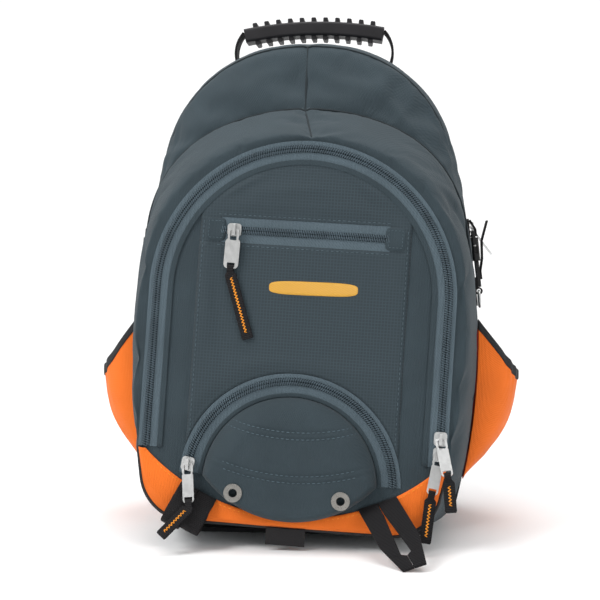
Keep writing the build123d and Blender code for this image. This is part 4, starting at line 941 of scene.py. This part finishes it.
def on_moon(x, y, out):
    """Points about the half-moon zip's centre carried to the front face."""
    return on_front(x, np.asarray(y) + MOON_Z, out)


# %% Half-moon cloth and its stitches
skirt = on_moon(rim[:, 0], rim[:, 1], -0.2)[None]
points, faces = closed_tube(np.concatenate([skirt, on_moon(mx, my, height)]))
pocket = new_piece("half_moon_cloth", points, faces, slate_cloth)
subdivide(pocket)
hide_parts("half_moon_pocket")
for number, row in enumerate(SEAM_ROWS):
    reach = 77.0 if row < 20.0 else 66.0
    sx = np.linspace(-reach, reach, 80)
    sy = row + sx ** 2 / ROW_BOW
    edge_drop = POCKET_R - np.hypot(sx, sy)
    crown = CROWN * ease(np.minimum(60.0, edge_drop + 10.0) / 60.0) * ease((sy + 2.0) / 30.0)
    top = POCKET_DEEP + crown - 0.55
    fall = 1.0 - np.sqrt(1.0 - (1.0 - np.clip(edge_drop / ROUND_ZIP, 0.0, 1.0)) ** 2)
    top = top - POCKET_DEEP * fall
    line = on_moon(sx, sy, top) / MM
    out = np.broadcast_to(FRONT_OUT, line.shape)
    stitches(f"pocket_stitches_{number + 1}", line, out, slate_thread, width=0.8)
print("half-moon pocket stands", round(float(height.max()), 1), "mm proud")

# %% [markdown]
# ## Seams of the body
# Three seams show on the bag: along the crest, where the front compartment joins, and up the middle. Each
# is a valley in the cloth with a thin dark cord down its bottom, painted shade for the shadow in the seam,
# so that the seam reads as a dark line between two swollen panels.

# %% Sewn seams
SEAM_FROM_Z = 24.0
crest_line = sunk[depths == BELLY_Y][0]
join_line = sunk[-1]
middle_line = np.vstack([sunk[depths <= BELLY_Y, AROUND // 2], gusset[1:17, AROUND // 2]])
# Each cord is painted shade: a dark line down the valley's bottom in place of the seam's shadow.
for name, line, radius in (("crest_seam", crest_line[crest_line[:, 2] > SEAM_FROM_Z], 1.1),
                           ("join_seam", join_line[join_line[:, 2] > SEAM_FROM_Z], 1.3),
                           ("middle_seam", middle_line, 1.1)):
    seam = tube(name, line, radius, painted_seam_shadow)
print("seam cords", len(crest_line), len(join_line), len(middle_line), "points before trimming at the floor")

# %% [markdown]
# ## Cloth cut for the trim
# The trim's area is worked out and printed. The area of a grid is the sum of its faces: half the length of
# the cross product of each face's two diagonals.

# %% Area of a grid
def grid_area(points):
    """Square metres of a rows x cols grid of points in metres."""
    first, second = points[1:, 1:] - points[:-1, :-1], points[1:, :-1] - points[:-1, 1:]
    return float(np.linalg.norm(np.cross(first, second), axis=-1).sum() / 2.0)


trim_area = grid_area(on_front(flat_trim[..., 0], flat_trim[..., 1], bulged))
print("trim", round(trim_area * 1e4), "square centimetres")

# %% [markdown]
# ## Side pockets
# A side pocket is one piece of cloth cut fuller than the side of the bag, so it stands away from it, and
# its mouth slopes down and outward. Its depth is an arc up its height times a rounded plan along its length.
# The mouth is found by halving an interval until the cloth meets the sloping cut. The elastic pleats the
# cloth below it, and the inside face takes a darker red copy of the orange, painted shade for the pocket's
# shadowed inside.

# %% Side pocket shape
POCKET_MID, POCKET_HALF, POCKET_FOOT = 33.0, 55.0, 51.0
MOUTH_Z, MOUTH_SLOPE = 212.0, math.tan(math.radians(52.0))


def circle_through(a, b, c):
    """Centre and radius of the circle through three points, from their squares and differences."""
    (ax, ay), (bx, by), (cx, cy) = a, b, c
    aa, bb, cc = ax ** 2 + ay ** 2, bx ** 2 + by ** 2, cx ** 2 + cy ** 2
    twice = 2.0 * (ax * (by - cy) + bx * (cy - ay) + cx * (ay - by))
    x = (aa * (by - cy) + bb * (cy - ay) + cc * (ay - by)) / twice
    y = (aa * (cx - bx) + bb * (ax - cx) + cc * (bx - ax)) / twice
    return x, y, math.dist((x, y), a)


POCKET_ARC = circle_through((134.0, 40.0), (210.0, 122.0), (196.0, 220.0))
print("side pocket arc radius", round(POCKET_ARC[2], 1), "mm")


def side_x(z):
    """Half width of the bag at a height: its side's long arc."""
    return BODY["half"] - SIDE_R + np.sqrt(SIDE_R ** 2 - (z - WIDEST_Z) ** 2)


def pocket_x(y, z):
    """Out to the cloth: the side, plus the arc's depth times (1 - t^3)^(1/2), t from 0 mid-length to 1."""
    centre_x, centre_z, radius = POCKET_ARC
    deep = np.maximum(centre_x + np.sqrt(radius ** 2 - (z - centre_z) ** 2) - side_x(z), 0.0)
    plan = np.sqrt(np.clip(1.0 - np.abs((y - POCKET_MID) / POCKET_HALF) ** 3, 0.0, 1.0))
    return side_x(z) + 0.4 + deep * plan


# %% The mouth and the pleats
def mouth_z(y):
    """Height of the mouth at each y: 24 halvings of the interval that holds it."""
    low, high = np.full_like(y, 140.0), np.full_like(y, 216.0)
    for _ in range(24):
        half = (low + high) / 2.0
        above = half > MOUTH_Z - (pocket_x(y, half) - BODY["half"]) * MOUTH_SLOPE
        low, high = np.where(above, low, half), np.where(above, half, high)
    return (low + high) / 2.0


def pocket_points(side, y, z):
    """The cloth with its pleats under the elastic and its long folds, in millimetres."""
    below = mouth_z(y) - z
    inner = ease((POCKET_HALF - np.abs(y - POCKET_MID)) / 16.0)
    pleat = np.sin(y / 1.75 + 1.2 * np.sin(y / 6.0 + side)) * np.exp(-np.clip(below - 9.0, 0.0, 99.0) / 13.0)
    lean = 8.0 * side
    folds = creases(y, z, (
        (1.9, (8 + lean, 104), 62, 34, 6), (-1.5, (20 + lean, 98), 62, 34, 6),
        (1.6, (56 - lean, 96), 118, 30, 6), (1.4, (34, 74), 6, 34, 5),
        (-1.3, (36, 84), 8, 30, 5), (1.2, (66, 132), 82, 22, 5),
    ))
    x = pocket_x(y, z) + inner * (0.75 * pleat + folds * ease((z - POCKET_FOOT) / 14.0))
    return np.stack([side * x, y, z], -1)


# %% Pocket cloth and elastic binding
turn = np.linspace(0.0, math.pi, 150)
pocket_y = POCKET_MID - POCKET_HALF * np.cos(turn)
rows_z = np.linspace(0.0, 1.0, 60)[:, None]
bow = np.linspace(0.0, 2.0 * math.pi, 18, endpoint=False)
BINDING_H, BINDING_HALF_T = 11.0, 1.9
for side, tag in ((-1.0, "left"), (1.0, "right")):
    top_z = mouth_z(pocket_y)
    z = POCKET_FOOT + (top_z - 1.0 - POCKET_FOOT) * rows_z
    skin = pocket_points(side, np.broadcast_to(pocket_y, z.shape), z)
    faces = grid_faces(*z.shape) if side > 0 else grid_faces(*z.shape)[:, ::-1]
    cloth = new_piece(f"side_pocket_cloth_{tag}", skin.reshape(-1, 3) * MM, faces, orange_cloth)
    # The inner face takes the darker red copy of the orange: painted shade.
    cloth.data.materials.append(pocket_inside_shade)
    solidify(cloth, 1.4 * MM)
    cloth.modifiers["wall"].material_offset = 1
    subdivide(cloth)
    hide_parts(f"side_pocket_{tag}")
    lip = pocket_points(side, pocket_y, top_z)
    under = pocket_points(side, pocket_y, top_z - 6.0)
    up = (lip - under) / np.linalg.norm(lip - under, axis=1, keepdims=True)
    out = np.cross(np.gradient(lip, axis=0), up) * side
    out /= np.linalg.norm(out, axis=1, keepdims=True)
    tall = np.sign(np.cos(bow)) * np.abs(np.cos(bow)) ** 0.4 * BINDING_H / 2.0
    deep = np.sign(np.sin(bow)) * np.abs(np.sin(bow)) ** 0.6 * BINDING_HALF_T
    centre = lip - up * BINDING_H / 2.0 - out * 0.7
    ring = centre[:, None] + up[:, None] * tall[None, :, None] + out[:, None] * deep[None, :, None]
    points, faces = closed_tube(ring * MM)
    binding = new_piece(f"elastic_binding_{tag}", points, faces, elastic_cloth)
    subdivide(binding)
    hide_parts(f"pocket_binding_{tag}")

# %% [markdown]
# ## Webbing
# Webbing is a flat woven strap with soft edges, a millimetre or two thick. A strap here is a line with a
# direction across it at each point, and each ring is a thin superellipse. Its UV runs across and along in
# metres, so the ribs of the weave turn with the strap.

# %% Ribbons
def ribbon(name, line, across, width, thick, material=black_webbing, body=ROOT):
    """Rings (|cos|^0.3, |sin|^0.6) of the half width and half thickness along a line in millimetres."""
    ahead = np.gradient(line, axis=0)
    ahead /= np.linalg.norm(ahead, axis=1, keepdims=True)
    across = across / np.linalg.norm(across, axis=1, keepdims=True)
    out = np.cross(across, ahead)
    angle = np.linspace(0.0, 2.0 * math.pi, 20, endpoint=False)
    wide = np.sign(np.cos(angle)) * np.abs(np.cos(angle)) ** 0.3
    high = np.sign(np.sin(angle)) * np.abs(np.sin(angle)) ** 0.6
    half = np.broadcast_to(width, len(line))[:, None] / 2.0
    run = np.append(0.0, np.cumsum(np.linalg.norm(np.diff(line, axis=0), axis=1)))
    skin = (line[:, None] + across[:, None] * (half * wide)[..., None]
            + out[:, None] * (thick / 2.0 * high)[None, :, None])
    points, faces = closed_tube(skin * MM)
    uv = np.stack([half * wide, np.broadcast_to(run[:, None], (len(line), 20))], -1).reshape(-1, 2)
    made = new_piece(name, points, faces, material, body, uv=uv * MM)
    return made


def smooth_line(knots, count=60):
    """A curve through knots: each coordinate is a cubic in between, with slopes from the neighbours."""
    knots = np.asarray(knots, float)
    step = np.append(0.0, np.cumsum(np.linalg.norm(np.diff(knots, axis=0), axis=1)))
    slope = np.gradient(knots, step, axis=0)
    at = np.linspace(0.0, step[-1], count)
    k = np.clip(np.searchsorted(step, at, side="right") - 1, 0, len(step) - 2)
    long = (step[k + 1] - step[k])[:, None]
    t = ((at - step[k]) / (step[k + 1] - step[k]))[:, None]
    return ((2 * t ** 3 - 3 * t ** 2 + 1) * knots[k] + (t ** 3 - 2 * t ** 2 + t) * long * slope[k]
            + (3 * t ** 2 - 2 * t ** 3) * knots[k + 1] + (t ** 3 - t ** 2) * long * slope[k + 1])


# %% [markdown]
# ## Turned edges beside the zips
# The cloth beside a zip is folded under, and its folded edge lies on the inner part of the tape. It is a
# narrow flat ribbon of the same cloth, just inside the coil, on the tall arch and round the half-moon.

# %% Turned edges
def turned_edge(name, x, y, width):
    """A ribbon of cloth on the front; its across direction is square to its own line."""
    line = on_front(x, y, 1.25) / MM
    across = np.cross(np.gradient(line, axis=0), FRONT_OUT)
    edge_piece = ribbon(name, line, across, width, 0.9, slate_cloth)


turned_edge("arch_turned_edge", *arch_path(ARCH_HALF - COIL_HALF - TAPE_IN + 1.3), 5.0)
sweep = np.linspace(MOON_END, math.pi - MOON_END, 160)
fold_r = MOON_R - COIL_HALF - TAPE_IN + 1.9
turned_edge("moon_turned_edge", fold_r * np.cos(sweep), MOON_Z + fold_r * np.sin(sweep), 3.6)
print("half-moon fold radius", round(fold_r, 1), "mm")

# %% [markdown]
# ## Loops at the front corners
# A strap is folded in half and its ends are sewn side by side into the trim's seam. On the right it lies
# forward with its legs apart and a tapering gap between them. On the left it hangs and curls back under.

# %% Corner loops
LOOP_TURN, LOOP_W, LOOP_T = math.radians(23.0), 19.0, 1.8
LOOP_X, LOOP_Z, LOOP_LIFT = 84.0, 50.0, 1.3
REACH_ASIDE, REACH_AHEAD, FOLD_Z = 34.0, 66.0, 3.4


def loop_axes(side):
    """Seam point, across, up and out of a loop sewn on at a turn from the front face's own axes."""
    across = FRONT_ACROSS * math.cos(LOOP_TURN) + FRONT_UP * math.sin(LOOP_TURN) * side
    return on_front(side * LOOP_X, LOOP_Z, LOOP_LIFT) / MM, across, np.cross(FRONT_OUT, across), FRONT_OUT


# %% Right corner loop
seam_at, across, _, _ = loop_axes(1.0)
tip = np.array([seam_at[0] + REACH_ASIDE, seam_at[1] - REACH_AHEAD, FOLD_Z])
run = seam_at - tip
up = run - across * (run @ across)
length, shift = float(np.linalg.norm(up)), -float(run @ across)
up /= length
lift = np.cross(across, up)
share = np.linspace(0.0, 1.0, 70)
outer_edge = np.interp(share, [0.0, 0.62, 1.0], [LOOP_W, LOOP_W, 11.0])
inner_edge = np.interp(share, [0.0, 0.2, 0.78, 0.81, 1.0], [0.05, 0.3, 4.75, 0.05, 0.05])
for leg_side, tag in ((-1.0, "inner"), (1.0, "outer")):
    middle = leg_side * (outer_edge + inner_edge) / 2.0
    tilt = 0.12 * leg_side * np.sin(math.pi * share) ** 2
    hump = (1.0 + 0.4 * leg_side) * np.sin(math.pi * share) ** 2
    line = (seam_at + across * (shift * share + middle)[:, None] - up * (length * share)[:, None]
            + lift * (0.9 + hump)[:, None])
    tilted = across * np.cos(tilt)[:, None] + lift * np.sin(tilt)[:, None]
    leg = ribbon(f"corner_loop_right_{tag}", line, tilted, outer_edge - inner_edge, LOOP_T)
    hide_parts("webbing_loop_right")
seam_rows = [(seam_at, across, FRONT_UP)]
fold = tip + across * np.linspace(-10.6, 10.6, 12)[:, None] + lift * 1.4 + up * 1.6
tube("corner_loop_right_fold", fold, 1.4, plain_webbing)
print("right loop reaches", round(length), "mm from its seam")

# %% Left corner loop, and the stitches of both
seam_at, across, up, out = loop_axes(-1.0)
curl = np.linspace(math.pi, 2.0 * math.pi, 30)
for leg_side, tag, big in ((-1.0, "outer", 8.1), (1.0, "inner", 7.2)):
    middle = np.array([9.0, -31.0 + 2.0 * (8.1 - big)])
    path = np.vstack([[[0.9, 0.0], [0.9, -10.0], [0.9, -22.0]],
                      middle + big * np.stack([np.cos(curl), np.sin(curl)], -1),
                      [[13.6, -20.0], [8.0, -10.0], [3.1, 0.0]]])
    line = (seam_at + across * (leg_side * (LOOP_W / 2.0 - 0.1)) + out * path[:, :1] + up * path[:, 1:])
    line = smooth_line(line, 110)
    leg = ribbon(f"corner_loop_left_{tag}", line, np.broadcast_to(across, line.shape), LOOP_W - 0.4, LOOP_T)
    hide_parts("webbing_loop_left")
seam_rows.append((seam_at, across, up))
for tag, (seam_at, across, up) in zip(("right", "left"), seam_rows):
    for number, drop in ((1, 2.4), (2, 5.6)):
        row = (seam_at + across * np.linspace(-18.0, 18.0, 30)[:, None] - up * drop
               + FRONT_OUT * (2.1 + 0.03 * drop))
        stitches(f"corner_stitches_{tag}_{number}", row, np.broadcast_to(FRONT_OUT, row.shape), orange_thread,
                 length=2.6, gap=0.9, width=0.7)
print("left loop curls down", round(float(np.ptp(path[:, 1]))), "mm from its seam")

# %% [markdown]
# ## Tabs on the pullers
# Each tab is a narrow webbing doubled round the puller's bar and sewn flat, with a zigzag of orange
# thread. It rides on its own body, so it swings with its joint. The joint gives the bar and its
# direction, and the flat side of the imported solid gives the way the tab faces.

# %% Folded tabs with a zigzag
TAB_LAYER, TAB_BAR_R, TAB_NECK, TAB_NECK_W, TAB_GAP = 1.2, 2.35, 5.6, 6.2, 0.65
joint_of = {joint["name"]: joint for joint in frame["joints"]}


def folded_tab(name, length, bend):
    """Down the front, round the bar and down the back; the direction turns by bend just under the bar."""
    joint = joint_of[name + "_lift"]
    bar, right = np.array(joint["pos_m"]) / MM, -np.array(joint["axis"])
    solid = read_points(frame["nodes"][name].data) / MM - bar
    face = np.linalg.svd(solid, full_matrices=False)[2][2]
    face = face - right * (face @ right)
    face *= np.sign(face @ FRONT_OUT) / np.linalg.norm(face)
    down = np.cross(right, face)
    s = np.linspace(0.0, length - 0.4, 80)
    angle = math.radians(bend) * ease((s - 3.0) / 5.2)
    step = np.append(0.0, np.diff(s))[:, None]
    ahead = right * np.sin(angle)[:, None] + down * np.cos(angle)[:, None]
    spine = bar + np.cumsum(ahead * step, axis=0)
    aside = right * np.cos(angle)[:, None] - down * np.sin(angle)[:, None]
    stand = TAB_GAP + (TAB_BAR_R - TAB_GAP) * (1.0 - ease(s / TAB_NECK))
    wide = TAB_NECK_W + 4.6 * ease((s - 3.6) / 3.4) - 1.6 * ease((s - length + 2.2) / 2.2)
    sweep = np.linspace(0.0, math.pi, 14)[1:-1, None]
    over = bar + TAB_BAR_R * (face * np.cos(sweep) - down * np.sin(sweep))
    line = np.vstack([(spine + face * stand[:, None])[::-1], over, spine - face * stand[:, None]])
    sides = np.vstack([aside[::-1], np.broadcast_to(right, over.shape), aside])
    widths = np.concatenate([wide[::-1], np.full(len(over), TAB_NECK_W), wide])
    tab = ribbon(name + "_webbing", line, sides, widths, TAB_LAYER, body=name)
    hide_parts(name)
    at = np.arange(9.5, length - 5.0, 1.5)
    zig = np.where(np.arange(len(at)) % 2 == 0, 1.5, -1.5)[:, None]
    row = np.stack([np.interp(at, s, spine[:, k]) for k in range(3)], -1)
    beside = np.stack([np.interp(at, s, aside[:, k]) for k in range(3)], -1)
    thread = row + beside * zig + face * 1.25
    stitches(name + "_zigzag", thread, np.broadcast_to(face, thread.shape), orange_thread,
             length=3.15, gap=0.2, width=0.9, body=name)


for tab_name, tab_length, tab_bend in (("panel_tab", 70.0, 21.0), ("front_upper_tab", 34.0, -6.0),
                                       ("front_lower_tab", 46.0, 4.0), ("moon_tab", 42.0, -46.0)):
    folded_tab(tab_name, tab_length, tab_bend)
    print(tab_name, round(tab_length), "mm long")

# %% [markdown]
# ## Straight straps and the blank label
# A strap that lies straight has three axes that its imported solid already holds: along, across and through.
# A singular value decomposition of the solid's points finds them, longest first. The label at the foot is
# a straight strap of satin, and stays blank.

# %% Straps found from their solids
def straight_strap(node_name, piece_name, material, swapped=False):
    """Centre, axes and sizes from the solid's points; the ribbon runs along the longer axis, or the other."""
    points = read_points(frame["nodes"][node_name].data) / MM
    centre = (points.max(0) + points.min(0)) / 2.0
    axes = np.linalg.svd(points - points.mean(0), full_matrices=False)[2]
    reach = np.ptp((points - centre) @ axes.T, axis=0)
    along, side = (1, 0) if swapped else (0, 1)
    share = np.linspace(-0.5, 0.5, 24)[:, None]
    line = centre + axes[along] * reach[along] * share
    made = ribbon(piece_name, line, np.broadcast_to(axes[side], line.shape), reach[side], reach[2], material)
    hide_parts(node_name)
    print(piece_name, np.round(reach, 1).tolist(), "mm")


straight_strap("label_tag", "blank_label", label_cloth, swapped=True)

# %% [markdown]
# ## Back panel and pads
# The back is a layer of spacer mesh over thin foam, and three firmer pads on it. Each is a set of rings
# from the rim to the middle, whose height climbs from the rim as a quarter ellipse. Sewn channels press
# valleys into the pads, where air passes.

# %% Back panel
BACK_FACE, BACK_T, BACK_AROUND = 113.6, 5.9, 240
BACK_INSET, BACK_ROUND = 6.3, 13.0
rounding = 1.0 - np.cos(np.linspace(0.1, math.pi / 2, 9))
inset = np.concatenate([[BACK_INSET, BACK_INSET], BACK_INSET + BACK_ROUND * rounding])
rings = np.stack([arch_line(BODY, BACK_AROUND, -value) for value in inset])
share = np.linspace(0.96, 0.02, 22)[:, None, None]
rings = np.concatenate([rings, heart + (rings[-1] - heart) * share])
climb = np.clip((inset - BACK_INSET) / BACK_ROUND, 0.0, 1.0)
height = np.concatenate([np.sqrt(1.0 - (1.0 - climb) ** 2), np.ones(len(share))])
height[0] = -0.02
depth = BACK_FACE + BACK_T * height[:, None] + np.zeros(BACK_AROUND)
points, faces = closed_tube(np.stack([rings[..., 0], depth, rings[..., 1]], -1) * MM)
back = new_piece("back_panel_mesh", points, faces, mesh_cloth)
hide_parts("back_panel")
print("back panel", BACK_T, "mm thick")

# %% Pads
PAD_FACE, PAD_T = 119.6, 11.8


def back_pad(name, centre, size, channels):
    """Superellipse rings; height is a quarter ellipse of the distance in from the rim, less the channels."""
    angle = np.linspace(0.0, 2.0 * math.pi, 180, endpoint=False)
    rim = (np.abs(np.cos(angle)) ** 9 + np.abs(np.sin(angle)) ** 9) ** (-1.0 / 9)
    ring = np.concatenate([[1.0, 1.0, 0.998, 0.99], np.linspace(0.975, 0.02, 46)])[:, None]
    x, z = ring * rim * np.cos(angle) * size[0] / 2, ring * rim * np.sin(angle) * size[1] / 2
    inward = np.minimum(size[0] / 2 - np.abs(x), size[1] / 2 - np.abs(z))
    inward = np.minimum(inward, (1.0 - ring) * np.hypot(x, z) / np.maximum(ring, 0.1))
    height = PAD_T * np.sqrt(1.0 - (1.0 - np.clip((inward + 0.3) / 13.0, 0.0, 1.0)) ** 2)
    for channel in channels:
        height = height - 4.2 * np.exp(-((z - channel) / 3.4) ** 2) * ease(inward / 12.0)
    height[0] = -0.1
    points, faces = closed_tube(np.stack([centre[0] + x, PAD_FACE + height, centre[1] + z], -1) * MM)
    pad = new_piece(name, points, faces, mesh_cloth)
    subdivide(pad)
    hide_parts("back_pads")


back_pad("lumbar_pad", (0.0, 92.5), (200.0, 95.0), (-15.0, 15.0))
for side, tag in ((-1.0, "left"), (1.0, "right")):
    back_pad(f"back_pad_{tag}", (side * 63.0, 259.5), (92.0, 205.0), (-60.0, -20.0, 20.0, 60.0))
print("three pads", PAD_T, "mm thick")

# %% [markdown]
# ## Shoulder straps
# A shoulder strap is foam between mesh and cloth, edged with piping. Seen from behind it bows outward, and
# seen from the side it stands off the back: two circular arcs of the same height. Its section is a lens,
# and webbing is sewn down its lower half to the ladder lock.

# %% The straps' arcs and section
strap_front = circle_through((62.0, 452.0), (106.8, 315.0), (118.0, 178.0))
strap_side = circle_through((126.8, 452.0), (156.8, 315.0), (139.1, 178.0))
z = np.linspace(451.0, 179.0, 130)
strap_x = strap_front[0] + np.sqrt(strap_front[2] ** 2 - (z - strap_front[1]) ** 2)
strap_y = strap_side[0] + np.sqrt(strap_side[2] ** 2 - (z - strap_side[1]) ** 2)
around = np.linspace(0.0, 2.0 * math.pi, 32, endpoint=False)
lens_x = np.sign(np.cos(around)) * np.abs(np.cos(around)) ** 0.62
lens_y = np.sign(np.sin(around)) * np.abs(np.sin(around)) ** 0.8
STRAP_HALF, STRAP_DEEP, STRAP_TAPER = 29.4, 6.8, 70.0
SEWN, INSET = slice(66, -2), slice(4, -4)
print("straps up to", round(2 * STRAP_HALF, 1), "mm wide")

# %% Both straps, their piping and webbing
for side, tag in ((-1.0, "left"), (1.0, "right")):
    line = np.stack([side * strap_x, strap_y, z], -1)
    ahead = np.gradient(line, axis=0)
    across = np.stack([-ahead[:, 2], np.zeros(len(z)), ahead[:, 0]], -1)
    across /= np.linalg.norm(across, axis=1, keepdims=True)
    out = np.cross(across, ahead / np.linalg.norm(ahead, axis=1, keepdims=True))
    out *= np.sign(out[:, 1:2])
    run = np.append(0.0, np.cumsum(np.linalg.norm(np.diff(line, axis=0), axis=1)))
    ends = np.minimum(run, run[-1] - run)
    close = np.sqrt(1.0 - (1.0 - np.clip((ends + 0.3) / 7.0, 0.0, 1.0)) ** 2)
    taper = 1.0 - 0.3 * ease((run - run[-1] + STRAP_TAPER) / STRAP_TAPER)
    half_w = STRAP_HALF * taper * (0.75 + 0.25 * close)
    skin = (line[:, None] + across[:, None] * (half_w[:, None] * lens_x)[..., None]
            + out[:, None] * (STRAP_DEEP * close[:, None] * lens_y)[..., None])
    points, faces = closed_tube(skin * MM)
    strap = new_piece(f"shoulder_strap_pad_{tag}", points, faces, mesh_cloth)
    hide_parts(f"shoulder_strap_{tag}")
    for edge_side, edge_tag in ((-1.0, "inner"), (1.0, "outer")):
        cord = line[INSET] + across[INSET] * (edge_side * half_w[INSET, None])
        piping = tube(f"strap_piping_{tag}_{edge_tag}", cord, 1.5, orange_cloth)
    low = line[SEWN] + out[SEWN] * 7.0
    ribbon(f"strap_webbing_{tag}", low, across[SEWN], 25.0, 1.6)
    for edge_side, edge_tag in ((-1.0, "inner"), (1.0, "outer")):
        thread = low[2:] + across[SEWN][2:] * (edge_side * 10.0) + out[SEWN][2:] * 0.8
        stitches(f"strap_stitches_{tag}_{edge_tag}", thread, out[SEWN][2:], slate_thread, width=0.7)
print("shoulder straps", round(float(run[-1])), "mm long")

# %% [markdown]
# ## Carried-over parts
# Tapes, sliders, pullers, eyelets, buckles, the handle and the compression straps were modelled as solids,
# and joints move several of them. Making them again could only lose that fit, so each keeps its shape and
# takes a finish by the name of its material slot.

# %% Finishes of the carried-over parts
CARRIED = {
    "zip_tape": tape_cloth, "zip_coil": coil_nylon, "pull_metal": pull_metal, "eyelet_metal": eyelet_metal,
    "black_plastic": buckle_plastic, "handle_rubber": handle_rubber, "black_webbing": plain_webbing,
    "mesh_cloth": mesh_cloth, "sheet_plastic": sheet_plastic, "base_cloth": base_cloth,
    "elastic": elastic_cloth, "body_cloth": slate_cloth, "panel_cloth": panel_cloth,
    "orange_cloth": orange_cloth,
}
slot_of = {part["node"]: part["material_slot"] for part in frame["record"]["subparts"]}
for name, piece in frame["nodes"].items():
    piece.data.materials.clear()
    piece.data.materials.append(CARRIED[slot_of[name]])
print(len(slot_of), "carried-over parts finished")

# %% [markdown]
# ## Floor, light and camera
# The bag stands on a plain pale floor that curves up behind it, under three broad soft lights. The camera
# stands at half its height, a little to the right, with a long lens that keeps its proportions.

# %% Floor and lights
CURVE_R, CURVE_FROM = 0.8, 1.2
bend = np.linspace(0.1, math.pi / 2, 12)
floor_y = np.concatenate([[-3.0, CURVE_FROM], CURVE_FROM + CURVE_R * np.sin(bend), [2.0]])
floor_z = np.concatenate([[0.0, 0.0], CURVE_R - CURVE_R * np.cos(bend), [4.0]])
floor_x = np.array([-4.0, 4.0])
floor_points = np.stack(np.broadcast_arrays(floor_x[None, :], floor_y[:, None], floor_z[:, None]), -1)
pale = finish("pale_floor", (0.95, 0.95, 0.95), 0.7)[0]
floor_mesh = bpy.data.meshes.new("floor")
floor_mesh.from_pydata(floor_points.reshape(-1, 3).tolist(), [], grid_faces(len(floor_y), 2).tolist())
floor_mesh.polygons.foreach_set("use_smooth", np.full(len(floor_mesh.polygons), True))
floor_mesh.materials.append(pale)
floor_piece = bpy.data.objects.new("floor", floor_mesh)
bpy.context.scene.collection.objects.link(floor_piece)


def soft_light(name, size, power, spot, aim=(0.0, 0.0, 0.25)):
    """A square area light at a spot, turned to face the bag."""
    lamp = bpy.data.lights.new(name, "AREA")
    lamp.size = size
    lamp.energy = power
    made = bpy.data.objects.new(name, lamp)
    bpy.context.scene.collection.objects.link(made)
    made.location = spot
    toward = np.array(aim) - np.array(spot)
    made.rotation_euler = (math.acos(-toward[2] / np.linalg.norm(toward)), 0.0,
                           math.atan2(toward[1], toward[0]) - math.pi / 2)


soft_light("key", 0.9, 30.0, (-1.3, -1.0, 1.7))
soft_light("fill", 1.4, 9.0, (1.5, -1.3, 1.1))
soft_light("top", 1.3, 22.0, (0.1, 0.1, 2.0))
world = bpy.data.worlds.new("studio")
world.use_nodes = True
world.node_tree.nodes["Background"].inputs["Color"].default_value = (1.0, 1.0, 1.0, 1.0)
world.node_tree.nodes["Background"].inputs["Strength"].default_value = 0.58
bpy.context.scene.world = world
bpy.context.scene.view_settings.view_transform = "Standard"
print("floor of", len(floor_y), "rows, three lights")

# %% Camera
camera = bpy.data.objects.new("camera", bpy.data.cameras.new("camera"))
bpy.context.scene.collection.objects.link(camera)
camera.location = (0.096, -1.22, 0.29)
LOOKS_DOWN, TURNED_LEFT = 2.87, 4.85
camera.rotation_euler = (math.radians(90.0 - LOOKS_DOWN), 0.0, math.radians(TURNED_LEFT))
camera.data.lens = 71.8
camera.data.dof.use_dof = False
bpy.context.scene.camera = camera
print("camera", camera.data.lens, "mm lens")
